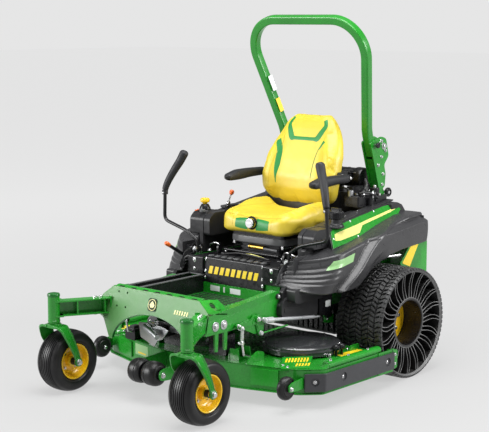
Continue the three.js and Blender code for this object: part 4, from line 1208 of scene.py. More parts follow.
def side_block(side, k):
    """The raised block beside the seat, with its green panel, stripe and screws."""
    rings = []
    steps = 40
    for i in range(steps + 1):
        t = i / steps
        foot, head = panel_frame(t)
        out = Vector((0.84, 0, 0.54))
        low = foot + Vector((14, 0, -14))
        ring = [(403, head.y, foot.z - 70), (low.x - 6, foot.y, foot.z - 70), tuple(low),
                tuple(foot + out * 6), tuple(foot.lerp(head, 0.5) + out * 8), tuple(head + out * 6),
                (424, head.y + 2, head.z + 12), (403, head.y + 2, head.z + 10)]
        rings.append(ring)
    form = Form().add(skinned(rings))
    tail = [(905, 850), (938, 848), (938, 868), (905, 905), (860, 922), (800, 918), (800, 850)]
    form.add(plate(tail, 10, "x", 403, 470))
    piece("side_block_" + side, form.sided(k), "chassis", (CHARCOAL,), (), 5, 3)

    out = Vector((0.84, 0, 0.54))

    def slab(t0, t1, v0, v1, lift, thick, taper0=0.0, taper1=0.0):
        rings = []
        for i in range(25):
            t = t0 + (t1 - t0) * i / 24
            foot, head = panel_frame(t)
            narrow = max(0, taper0 * (1 - i / 4)) + max(0, taper1 * (i - 20) / 4)
            a, b = foot.lerp(head, v0 + narrow), foot.lerp(head, v1 - narrow * 0.3)
            rings.append([tuple(a + out * lift), tuple(b + out * lift), tuple(b + out * (lift + thick)),
                          tuple(a + out * (lift + thick))])
        return skinned(rings)

    panel = Form().add(slab(0.012, 0.985, 0.10, 0.97, 7, 6, 0.0, 0.4))
    piece("side_panel_" + side, panel.sided(k), "chassis", (GREEN,), (), 2.2, 3)
    stripe = Form()
    stripe.add(slab(0.05, 0.43, 0.30, 0.68, 12.6, 1.4, 0.08, 0.24))
    stripe.add(slab(0.38, 0.92, 0.55, 0.68, 12.6, 1.3, 0.0, 0.04))
    for t, v in ((0.035, 0.5), (0.30, 0.93), (0.34, 0.2), (0.66, 0.93), (0.70, 0.2), (0.93, 0.75)):
        foot, head = panel_frame(t)
        stripe.add(dome_bolt(tuple(foot.lerp(head, v) + out * 12.6), tuple(out), 5.5, 4), 1)
    piece("side_stripe_" + side, stripe.sided(k), "chassis", (DECAL_CREAM, STEEL), (), 0.3)

    low_edge, high_edge = ((93, 642), (268, 672)), ((135, 688), (290, 716))
    rows = []
    for i in range(13):
        row = []
        for j in range(7):
            (y0, z0), (y1, z1) = [(a[0] + (b[0] - a[0]) * i / 12, a[1] + (b[1] - a[1]) * i / 12)
                                  for a, b in (low_edge, high_edge)]
            y, z = y0 + (y1 - y0) * j / 6, z0 + (z1 - z0) * j / 6
            s = (along(SKIRT_TOP, y) - 16 - z) / (along(SKIRT_TOP, y) - 16 - along(SKIRT_LOW, y))
            row.append((fender_side(y, s)[0] + 1.0, y, z))
        rows.append(row)
    skin = skinned([row + [(x - 3, y, z) for x, y, z in reversed(row)] for row in rows])
    piece("fender_label_" + side, Form().add(skin).sided(k), "chassis", (DECAL_PALE,))


def inner_walls(side, k):
    """The low wall between seat and fender, from the console back to the engine."""
    form = Form()
    wall = [(100, 641), (622, 641), (622, 900), (300, 838), (290, 745), (100, 735)]
    form.add(plate(wall, 12, "x", 376, 402))
    form.add(plate([(292, 760), (640, 760), (640, 886), (292, 834)], 14, "x", 306, 378, 5))
    form.add(plate([(300, 842), (870, 926), (870, 934), (300, 850)], 3, "x", 372, 432))
    for y in (360, 470, 580):
        z = 850 + (y - 300) * 0.147
        form.add(disc(4, z + 1, z + 4, (390, y, 0), "z", 20, 1), 1)
    piece("inner_wall_" + side, form.sided(k), "chassis", (CHARCOAL, STEEL), (), 4, 3)


def fenders():
    for side, k in SIDES:
        fender_piece(side, k)
        side_block(side, k)
        side_tank(side, k)
        inner_walls(side, k)


# ---------------------------------------------------------------- consoles and hand controls
def consoles():
    for side, k, top in (("left", 1, 842), ("right", -1, 868)):
        form = Form()
        outline = rounded([(108, 641), (283, 641), (283, top - 20), (262, top), (150, top), (108, top - 34)],
                          16, 5)
        form.add(prism(outline, "x", 346, 372))
        form.add(plate([(112, 738), (283, 738), (283, top - 22), (260, top - 2), (152, top - 2),
                        (112, top - 36)], 16, "x", 372 if k > 0 else 300, 450, 5))
        for i in range(3):
            y = 135 + i * 44
            form.add(pad((y, 752, y + 20, top - 48), 8, "x", 448, 453))
        form.add(plate([(26, 650), (110, 650), (110, 686), (60, 700), (26, 684)], 12, "x", 357, 368), 1)
        for y, z in ((60, 662), (92, 668)):
            form.add(bolt((368, y, z), (1, 0, 0), 15, 8), 2)
        form.add(disc(17, 368, 378, (0, 48, 667), "x", 28, 2), 2)
        piece("console_body_" + side, form.sided(k), "chassis", (CHARCOAL, BLACK, STEEL),
              ["console_" + side], 3.5, 3)


def filler():
    neck = Form()
    neck.add(lathe([(20, 840), (44, 840), (41, 852), (33, 860), (32, 882), (20, 884)], FILLER_AT, "z", 48))
    neck.add(disc(46, 834, 846, FILLER_AT, "z", 48, 3))
    piece("filler_neck", neck, "chassis", (CHARCOAL,), (), 2)

    cap = Form()
    ribs = 26
    rings = []
    for z, r, knurl in ((886, 40, 0), (889, 41, 1.6), (918, 40, 1.6), (924, 37, 0.6), (927, 33, 0)):
        rings.append([((r + (knurl if i % 4 < 2 else -knurl)) * math.cos(TURN * i / (ribs * 4))
                       + FILLER_AT[0], (r + (knurl if i % 4 < 2 else -knurl))
                       * math.sin(TURN * i / (ribs * 4)) + FILLER_AT[1], z) for i in range(ribs * 4)])
    cap.add(skinned(rings))
    cap.add(pad((408, 312, 472, 328), 7, "z", 926, 942))
    piece("filler_cap", cap, "fuel_cap", (BLACK,), ["fuel_cap"], 1)


def pull_knob():
    knob = Form()
    profile = [(0.05, 904), (12, 904), (16, 910), (25, 914), (27.5, 920), (27, 930), (24, 935), (18, 937),
               (0.05, 937.5)]
    knob.add(lathe(profile, PULL_KNOB_AT, "z", 48))
    knob.add(disc(9, 871, 906, PULL_KNOB_AT, "z", 24, 1), 1)
    knob.add(lathe([(10, 872), (33, 872), (31, 884), (24, 896), (21, 902), (10, 902)], PULL_KNOB_AT, "z", 48),
             1)
    piece("pull_knob", knob, "pto_knob", (KNOB_YELLOW, BLACK), ["pto_knob"], 0.6)
    collar = Form()
    collar.add(lathe([(9.5, 866), (46, 866), (42, 870.4), (9.5, 870.4)], PULL_KNOB_AT, "z", 48))
    collar.add(disc(17, 866, 880, (-372, 132, 0), "z", 32, 2), 1)
    for i in range(3):
        collar.add(disc(6, 866, 872 + 2 * i, (-430, 140 + 18 * i, 0), "z", 20, 1), 2)
    piece("console_top_trim", collar, "chassis", (BLACK, GREY, ORANGE), (), 0.8)


def throttle_knob():
    throttle = Form()
    throttle.add(tube([(-412, 400, 890), (-412, 412, 912), (-412, 424, 936)], 4.2, 12), 1)
    head = [(0.05, -14), (6, -14), (10, -10), (13.5, -2), (14.5, 5), (12.5, 12), (8, 16), (0.05, 17.5)]
    throttle.add(turned_to(lathe(head, (0, 0, 0), "z", 32), (0, 0.45, 0.89), (-412, 428, 944)))
    throttle.add(disc(11, -420, -404, (0, 400, 886), "x", 28, 2), 1)
    piece("throttle_knob", throttle, "throttle_lever", (ORANGE, STEEL), ["throttle_lever"],
          0.5)
    gate = Form()
    gate.add(pad((-434, 350, -386, 470), 10, "z", 862, 876))
    gate.add(pad((-415, 365, -409, 455), 3, "z", 874, 878), 1)
    piece("throttle_gate", gate, "chassis", (CHARCOAL, BLACK), (), 2)


def lift_handle():
    handle = Form()
    line = bent([(-388, 20, 620), (-388, -60, 664), (-388, -150, 717)], 20)
    handle.add(sweep(rounded(rectangle(-7, -9, 7, 9), 4, 3), line, (0, 0, 1)))
    tip = [(0.05, 0), (9, 0), (12, 6), (13, 24), (11, 34), (7, 39), (0.05, 40)]
    handle.add(turned_to(lathe(tip, (0, 0, 0), "z", 32), (0, -0.86, 0.5), (-388, -122, 702)), 1)
    handle.add(disc(17, -396, -381, (0, 20, 620), "x", 32, 2), 2)
    piece("lift_handle", handle, "deck_lift_lever", (BLACK, ORANGE, STEEL),
          ["deck_lift_lever"], 0.8)


def height_dial():
    _, dial_y, dial_z = HEIGHT_DIAL_AT
    dial = Form()
    dial.add(disc(52, -352, -340, HEIGHT_DIAL_AT, "x", 56, 4))
    dial.add(lathe([(38, -353), (50, -353), (49, -356), (39, -356)], HEIGHT_DIAL_AT, "x", 56), 1)
    for i in range(12):
        a = TURN * i / 12
        dial.add(pad((-3, 26, 3, 36), 2, "x", -355, -352) if i == 0
                 else disc(3, -355, -352, (0, dial_y + 31 * math.cos(a), dial_z + 31 * math.sin(a)), "x", 12,
                           0.5), 1)
    dial.add(disc(20, -366, -352, HEIGHT_DIAL_AT, "x", 36, 4), 2)
    piece("height_dial", dial, "chassis", (BLACK, GREY, CHARCOAL), (), 0.8)


# ---------------------------------------------------------------- steering levers
def levers():
    x, y, z = LEVER_AT
    for side, k in SIDES:
        yoke = Form()
        for y0, y1 in ((y - 26, y - 16), (y + 16, y + 26)):
            yoke.add(plate([(x - 15, z - 22), (x + 15, z - 22), (x + 15, z + 8), (x, z + 20),
                            (x - 15, z + 8)], 7, "y", y0, y1))
        yoke.add(block((x - 13, y - 26, z - 24), (x + 10, y + 26, z - 16)))
        yoke.add(block((x + 10, y - 13, z - 24), (x + 20, y + 13, z - 16)))
        yoke.add(block((x + 15.5, y - 13, z - 22), (x + 20, y + 13, z + 11)))
        yoke.add(lathe([(0.05, -27), (7, -27), (7, 27), (0.05, 27)], (x, y, z), "y", 20), 1)
        for s in (1, -1):
            yoke.add(bolt((x, y + s * 26, z), (0, s, 0), 15, 9), 1)
        yoke.add(disc(8, 19, 36, (x, y, z), "x", 20, 1), 1)
        piece("lever_yoke_" + side, yoke.sided(k), "lever_base_" + side, (STEEL, ALLOY),
              ["lever_pivot_" + side], 1)

        arm = Form()
        line = bent([(x, y, z + 12), (x + 2, y, 716), (411, 43, 764), (592, 50, 810), (584, 46, 978)], 34, 8)
        arm.add(tube(line, 10, 20, (0, 1, 0)))
        arm.add(lathe([(8.4, -14), (15, -14), (15, 14), (8.4, 14)], (x, y, z), "y", 28))
        arm.add(tube([(584, 46, 958), (584, 46, 982)], 17, 24, (0, 1, 0)), 1)
        arm.add(bolt((584, 34, 968), (0, -1, 0), 11, 7), 2)
        piece("lever_arm_" + side, arm.sided(k), "steering_lever_" + side,
              (BLACK, SOFT_BLACK, STEEL), ["lever_" + side], 0.8)

        grip = Form()
        path = spline([(584, 46, 983), (576, 51, 1012), (562, 62, 1050), (540, 79, 1098), (512, 97, 1150),
                       (490, 110, 1198)], 8)
        path += [(487.5, 111.5, 1204), (486, 112.3, 1208)]
        n = len(path)

        def girth(t):
            end = max(0, (t * (n - 1) - (n - 4)) / 3)
            return (1.0 + 0.5 * t) * (1 - 0.42 * end ** 2) * (0.9 if t == 0 else 1)

        grip.add(sweep(circle(17.5, 28), path, (0, 1, 0), girth))
        piece("lever_handle_" + side, grip.sided(k), "steering_lever_" + side, (SOFT_BLACK,),
              ["lever_grip_" + side], 0.6)


# ---------------------------------------------------------------- seat
CUSHION_HALF = 252


def cushion_plan(steps=96):
    """The cushion's outline from above, widest at the back, with a bowed front."""
    points = []
    for i in range(steps):
        a = TURN * i / steps
        c, s = math.cos(a), math.sin(a)
        x = abs(c) ** 0.28 * (1 if c > 0 else -1)
        y = abs(s) ** 0.32 * (1 if s > 0 else -1)
        points.append((x * (CUSHION_HALF + 6 * y), 331 + y * 211 - (6 * abs(x) ** 2 if y < 0 else 0)))
    return points


def cushion_top(x, y):
    """The sitting surface: a shallow dish between two raised thigh wings."""
    u = abs(x) / CUSHION_HALF
    wing = smoothstep(0.40, 0.88, u) * (22 + 38 * smoothstep(150, 420, y))
    nose = -8 * (1 - smoothstep(125, 195, y))
    dish = -8 * (1 - smoothstep(0, 0.6, u)) * smoothstep(250, 420, y)
    return 876 + wing + nose + dish + 10 * smoothstep(440, 530, y)


def layered(plan, rings, middle):
    """A closed pad: the plan's outline shrunk towards the middle in rings of (scale, height rule)."""
    points, faces = [], []
    n = len(plan)
    cx, cy = middle
    for scale, height in rings:
        for x, y in plan:
            px, py = cx + (x - cx) * scale, cy + (y - cy) * scale
            points.append((px, py, height(px, py)))
    for k in range(len(rings) - 1):
        for i in range(n):
            a, b = k * n, (k + 1) * n
            faces.append((a + i, a + (i + 1) % n, b + (i + 1) % n, b + i))
    low, high = len(points), len(points) + 1
    points.append((cx, cy, rings[0][1](cx, cy)))
    points.append((cx, cy, rings[-1][1](cx, cy)))
    faces += [(low, (i + 1) % n, i) for i in range(n)]
    top = (len(rings) - 1) * n
    faces += [(high, top + i, top + (i + 1) % n) for i in range(n)]
    return points, faces


def cushion_shape():
    def flat(z):
        return lambda x, y: z

    def near_top(drop):
        return lambda x, y: cushion_top(x, y) - drop

    rings = [(s, flat(783)) for s in (0.15, 0.4, 0.65, 0.86)]
    rings += [(0.95, flat(784)), (0.985, flat(791))]
    rings += [(1.0 - 0.004 * i, lambda x, y, t=t: 800 + (cushion_top(x, y) - 30 - 800) * t)
              for i, t in enumerate((0, 0.35, 0.7, 1.0))]
    rings += [(0.965, near_top(18)), (0.93, near_top(8)), (0.88, near_top(2))]
    rings += [(s, near_top(0)) for s in (0.8, 0.7, 0.6, 0.5, 0.4, 0.3, 0.2, 0.1)]
    return layered(cushion_plan(), rings, (0, 332))


BACK_HALF = ((893, 150), (905, 196), (930, 236), (965, 258), (1010, 268), (1080, 272), (1180, 265),
             (1260, 241), (1340, 200), (1385, 172), (1412, 134))


BACK_FRONT = ((893, 556), (930, 538), (990, 524), (1060, 528), (1150, 556), (1250, 592), (1330, 622),
              (1380, 645), (1412, 668))


def back_middle(z):
    """The y of the seat back's front face on its middle line, at a height."""
    return along(BACK_FRONT, z)


def back_shape():
    """The back as level slices, its front dished between two bolsters."""
    rings = []
    levels = [893, 896, 904, 918, 936, 953] + [970 + 20 * i for i in range(20)] + [1366, 1382, 1395, 1405,
                                                                                   1411, 1413]
    n = 64
    for z in levels:
        half = along(BACK_HALF, z)
        end = smoothstep(893, 925, z) * (1 - smoothstep(1350, 1420, z)) ** 0.5
        front = back_middle(z)
        depth = 92 * (0.55 + 0.45 * end) if z < 1300 else 92 - 40 * smoothstep(1300, 1413, z)
        half *= 0.93 + 0.07 * end
        ring = []
        for i in range(n):
            a = TURN * i / n
            c, s = math.cos(a), math.sin(a)
            x = half * abs(c) ** 0.5 * (1 if c > 0 else -1)
            u = abs(x) / half
            bolster = -30 * smoothstep(0.45, 0.8, u) * smoothstep(915, 990,
                                                                  z) * (1 - smoothstep(1180, 1330, z))
            y_mid = front + depth * 0.5
            y = y_mid + depth * 0.5 * abs(s) ** 0.55 * (1 if s > 0 else -1)
            if s < 0:
                y += bolster * abs(s) ** 0.5
            ring.append((x, y, z))
        rings.append(ring)
    return skinned(rings)


def puffed(name, shape, cap, pressure):
    """A pad swollen by cloth simulation, with every point kept within cap millimetres of where it was."""
    obj = bpy.data.objects.new(name, mesh_of(name, Form().add(shape)))
    bpy.context.collection.objects.link(obj)
    mod = obj.modifiers.new("remesh", "REMESH")
    mod.mode = "VOXEL"
    mod.voxel_size = 0.0065
    applied(obj)
    smooth = obj.modifiers.new("smooth", "SMOOTH")
    smooth.factor, smooth.iterations = 0.5, 6
    applied(obj)
    start = [v.co.copy() for v in obj.data.vertices]
    mod = obj.modifiers.new("cloth", "CLOTH")
    mod.settings.quality = 4
    mod.settings.use_pressure = True
    mod.settings.uniform_pressure_force = pressure
    mod.settings.effector_weights.gravity = 0
    mod.settings.tension_stiffness = mod.settings.compression_stiffness = 25
    mod.point_cache.frame_start, mod.point_cache.frame_end = 1, 20
    scene = bpy.context.scene
    for f in range(1, 21):
        scene.frame_set(f)
    applied(obj)
    scene.frame_set(1)
    limit = cap * MM
    for v, rest in zip(obj.data.vertices, start):
        move = v.co - rest
        if move.length > limit:
            v.co = rest + move.normalized() * limit
    smooth = obj.modifiers.new("smooth", "SMOOTH")
    smooth.factor, smooth.iterations = 0.5, 3
    applied(obj)
    return obj


def surface_tree(obj):
    bm = bmesh.new()
    bm.from_mesh(obj.data)
    tree = BVHTree.FromBMesh(bm)
    bm.free()
    return tree


def landed(tree, origin, direction, lift):
    """Where a ray lands on a surface, lifted off it, or None."""
    spot, normal, _, _ = tree.ray_cast(Vector(origin) * MM, Vector(direction))
    if spot is None:
        return None
    return spot / MM - Vector(direction) * lift, normal


def laid_cord(tree, points, direction, radius, lift=0.0):
    """A thin round line laid on a surface, under points seen along a direction."""
    spots = [landed(tree, p, direction, lift) for p in points]
    line = [tuple(s[0]) for s in spots if s]
    return tube(line, radius, 8, tuple(-Vector(direction)))


def laid_band(tree, centre, widths, direction, lift=1.2, depth=4.0, across=7):
    """A band of cover fabric laid on a surface, along a centre line in the plane seen along a direction."""
    direction = Vector(direction)
    rows = []
    n = len(centre)
    for i, p in enumerate(centre):
        ahead = (Vector(centre[min(i + 1, n - 1)]) - Vector(centre[max(i - 1, 0)])).normalized()
        side = ahead.cross(direction).normalized()
        row = []
        for j in range(across):
            w = -1 + 2 * j / (across - 1)
            hit = landed(tree, Vector(p) + side * w * widths[i], direction, lift * (1 - 0.8 * abs(w) ** 4))
            row.append(hit[0] if hit else None)
        if all(row):
            rows.append(row)
    top = [[tuple(q) for q in row] for row in rows]
    low = [[tuple(q + direction * depth) for q in row] for row in rows]
    return skinned([t + list(reversed(b)) for t, b in zip(top, low)])


def cover(name, shape, cap, pressure, paint, body, node):
    """A cover in place of a CAD node. Returns it, and the tree of its surface for seams and bands."""
    obj = puffed(name, shape, cap, pressure)
    obj.data.materials.append(paint)
    tree = surface_tree(obj)
    sub = obj.modifiers.new("fine", "SUBSURF")
    sub.levels = sub.render_levels = 1
    applied(obj)
    dressed(obj, body, [node], angle=80, weighted=False)
    return obj, tree


def seat():
    cushion, tree = cover("seat_cushion_cover", cushion_shape(), 9, 4.0, VINYL, "seat",
                          "seat_cushion")
    back, back_tree = cover("seat_back_cover", back_shape(), 9, 4.0, VINYL, "seat",
                            "seat_back")

    down, rear = (0, 0, -1), (0, 1, 0)
    seams = Form()
    for k in (1, -1):
        wing = spline([(k * 168, 140, 990), (k * 176, 220, 990), (k * 158, 330, 990), (k * 138, 450, 990),
                       (k * 134, 520, 990)], 10)
        seams.add(laid_cord(tree, wing, down, 1.5, -0.5))
    front = [(x, 80, 868 + 0.0003 * x * x) for x in range(-214, 216, 6)]
    seams.add(laid_cord(tree, front, rear, 1.5, -0.5))
    for k in (1, -1):
        drop = [(k * 140, 80, z) for z in range(866, 806, -5)]
        seams.add(laid_cord(tree, drop, rear, 1.4, -0.5))
        side = spline([(k * 192, 440, 960), (k * 188, 440, 1100), (k * 166, 440, 1190), (k * 144, 440, 1250),
                       (k * 150, 440, 1300)], 10)
        seams.add(laid_cord(back_tree, side, rear, 1.5, -0.5))
    piece("seat_seams", seams, "seat", (THREAD,), angle=70)

    bands = Form()
    u_line = bent([(-112, 440, 1392), (-134, 440, 1352), (-92, 440, 1276), (92, 440, 1276), (134, 440, 1352),
                   (112, 440, 1392)], 16, 5)
    dense = []
    for a, b in zip(u_line, u_line[1:]):
        steps = max(1, int((Vector(b) - Vector(a)).length / 8))
        dense += [tuple(Vector(a).lerp(Vector(b), i / steps)) for i in range(steps)]
    n = len(dense)
    widths = [6 + 8 * smoothstep(0.30, 0.42, abs(2 * i / n - 1))
              * (1 - smoothstep(0.5, 1, abs(2 * i / n - 1))) + 4 for i in range(n)]
    bands.add(laid_band(back_tree, dense, widths, rear))
    left = spline([(-180, 440, 1262), (-154, 440, 1212), (-150, 440, 1140), (-152, 440, 1080),
                   (-148, 440, 1020)], 14)
    widths = [17 * (1 - 0.9 * smoothstep(0.5, 1, i / len(left))) for i in range(len(left))]
    bands.add(laid_band(back_tree, left, widths, rear))
    tick = spline([(150, 440, 1268), (134, 440, 1240), (122, 440, 1222)], 8)
    bands.add(laid_band(back_tree, tick, [9 * (1 - 0.6 * i / len(tick)) for i in range(len(tick))], rear))
    for k in (1, -1):
        inset = [(k * x, 80, 831) for x in range(30, 126, 6)]
        height = [32 - 9 * (i / len(inset)) ** 2 for i in range(len(inset))]
        bands.add(laid_band(tree, inset, height, rear))
    piece("seat_green_bands", bands, "seat", (VINYL_GREEN,), angle=60)
    pipe = Form()
    piping = spline([(150, 440, 1268), (118, 440, 1216), (104, 440, 1150), (100, 440, 1060)], 12)
    pipe.add(laid_cord(back_tree, piping, rear, 1.8, 0.3))
    piece("seat_piping", pipe, "seat", (VINYL_GREEN,), angle=60)

    shell = Form()
    rings = []
    for z in [950 + 18 * i for i in range(20)]:
        half = along(BACK_HALF, z) * 0.78
        y = back_middle(z) + 84
        ring = [(half * c, y + 14 * s, z) for c, s in ((math.cos(TURN * i / 28), math.sin(TURN * i / 28))
                                                       for i in range(28))]
        rings.append([(x, min(yy, 742), zz) for x, yy, zz in ring])
    shell.add(skinned(rings))
    shell.add(pad((-190, 800, 190, 990), 20, "y", 548, 556))
    piece("seat_back_shell", shell, "seat", (CHARCOAL,), angle=50)


def armrest_pads():
    for side, k in SIDES:
        rings = []
        steps = 26
        for i in range(steps + 1):
            t = i / steps
            y = 258 + (612 - 258) * t
            nose = math.sqrt(max(0.0, 1 - (1 - min(1, t / 0.07)) ** 2))
            tail = math.sqrt(max(0.0, 1 - (max(0, t - 0.94) / 0.06) ** 2))
            fat = max(0.12, min(nose, tail))
            top = 1076 + 20 * smoothstep(0, 0.30, t) - 4 * smoothstep(0.5, 1, t)
            low = 1040 - 6 * smoothstep(0, 0.12, t) + 10 * smoothstep(0.25, 0.7, t)
            half_w = 27 - 4 * smoothstep(0.5, 1, t)
            mid, high = (top + low) / 2, (top - low) / 2
            ring = []
            for j in range(28):
                a = TURN * j / 28
                c, s = math.cos(a), math.sin(a)
                ring.append((309 + half_w * fat * abs(c) ** 0.6 * (1 if c > 0 else -1), y,
                             mid + high * fat * abs(s) ** 0.6 * (1 if s > 0 else -1)))
            rings.append(ring)
        shape = Form().add(skinned(rings)).sided(k).shape()
        node = "armrest_" + side
        pad, _ = cover("armrest_pad_" + side, shape, 3, 2.0, SOFT_BLACK, node, node)
        hinge = Form()
        hinge.add(disc(19, 272, 282, (0, 589, 1072), "x", 32, 2))
        hinge.add(bolt((336, 589, 1072), (1, 0, 0), 13, 6))
        hinge.add(plate([(560, 1040), (640, 1040), (648, 1105), (560, 1100)], 10, "x", 262, 273), 1)
        piece("armrest_hinge_" + side, hinge.sided(k), "seat", (STEEL, BLACK), (), 0.8)


def seat_suspension():
    form = Form()
    plan = rounded([(-206, 240), (-196, 182), (-120, 160), (120, 160), (196, 182), (206, 240), (206, 556),
                    (-206, 556)], 26, 5)
    grown = [(x * 0.965, 350 + (y - 350) * 0.97) for x, y in plan]
    form.add(skinned([[(x, y, z) for x, y in outline] for outline, z in ((grown, 716), (plan, 722),
                                                                         (plan, 750), (grown, 758))]))
    form.add(pad((-190, 176, 190, 550), 26, "z", 756, 780), 1)
    for i in range(6):
        z = 644 + i * 12
        swell = 6 if i % 2 else 0
        form.add(pad((-148 - swell, 208 - swell, 148 + swell, 498 + swell), 26, "z", z, z + 11), 2)
    for k in (1, -1):
        form.add(pad((k * 176 - 9, 182, k * 176 + 9, 540), 4, "z", 700, 717), 3)
    form.add(tube([(-60, 190, 694), (46, 184, 694)], 12, 24, (0, 0, 1)), 4)
    form.add(tube([(-80, 190, 694), (150, 176, 690)], 9, 16, (0, 0, 1)), 0)
    form.add(disc(15, -64, -56, (0, 190, 694), "x", 24, 2), 4)
    piece("suspension_housing", form, "seat_platform",
          (GREY, BLACK, SOFT_BLACK, STEEL, BRASS), ["seat_base"], 1.6, 3)


def seat_rails():
    rail = Form()
    for k in (1, -1):
        rail.add(plate([(118, 641), (560, 641), (560, 658), (140, 656), (118, 650)], 4, "x", k * 205 - 12,
                       k * 205 + 12))
        rail.add(plate([(110, 642), (150, 642), (150, 700), (128, 704), (112, 680)], 8, "x", k * 240 - 6,
                       k * 240 + 6))
        for y in (150, 300, 480):
            rail.add(bolt((k * 205, y, 656), (0, 0, 1), 15, 8), 1)
        rail.add(tube(bent([(k * 236, 128, 690), (k * 262, 120, 704), (k * 300, 122, 690),
                            (k * 322, 140, 676)], 14), 5, 12), 1)
        rail.add(spring((k * 250, 150, 676), (k * 318, 210, 664), 9, 1.8, 9), 1)
        rail.add(bolt((k * 280, 90, 660), (0, -0.3, 1), 17, 9), 1)
    rail.add(tube([(-196, 128, 672), (196, 128, 672)], 7, 16))
    for x in range(-150, 151, 50):
        rail.add(pad((x - 16, 60, x + 16, 100), 6, "z", 640, 646), 2)
    rail.add(tube(bent([(-170, 100, 652), (-60, 92, 668), (40, 96, 662), (150, 104, 652)], 30), 4.5, 12), 2)
    rail.add(tube(bent([(-60, 110, 660), (20, 106, 668), (110, 110, 655)], 30), 3, 10), 3)
    piece("seat_rails", rail, "chassis", (BLACK, STEEL, HOSE, DECAL_CREAM), (), 0.8)


def weight_dial():
    knob = Form()
    rings = []
    for y, r, wave in ((117, 24, 0.0), (114, 27, 1.2), (108, 27, 1.2), (105.5, 25, 0.6), (105, 21, 0)):
        rings.append([((r + wave * math.cos(18 * TURN * i / 144)) * math.cos(TURN * i / 144), y,
                       838 + (r + wave * math.cos(18 * TURN * i / 144)) * math.sin(TURN * i / 144))
                      for i in range(144)])
    knob.add(skinned(rings))
    knob.add(disc(20, 113, 149, WEIGHT_DIAL_AT, "y", 36, 2), 1)
    knob.add(plate([(-15, 835), (15, 835), (15, 841), (-15, 841)], 2, "y", 101.5, 106), 0)
    piece("weight_dial", knob, "suspension_dial", (STEEL, BLACK), ["suspension_knob"], 0.5)
    ring = Form().add(lathe([(28, 128), (34, 124), (37, 126), (38, 134), (28, 134)], WEIGHT_DIAL_AT, "y", 60))
    piece("dial_surround", ring, "seat", (BLACK,), (), 0.4)


# ---------------------------------------------------------------- mowing deck
DECK_PLAN = [(150, -440), (400, -385), (676, -300), (771, -205), (771, 280), (455, 280), (455, 405)]


def both_ways(half):
    return half + [(-x, y) for x, y in reversed(half)]


def shrunk(plan, distance):
    """The outline moved inwards (it runs anticlockwise)."""
    n = len(plan)
    result = []
    for i in range(n):
        a, b, c = Vector(plan[i - 1]), Vector(plan[i]), Vector(plan[(i + 1) % n])
        u, w = (b - a).normalized(), (c - b).normalized()
        na, nb = Vector((-u.y, u.x)), Vector((-w.y, w.x))
        mid = (na + nb).normalized()
        result.append(tuple(b + mid * (distance / max(0.35, mid.dot(na)))))
    return result


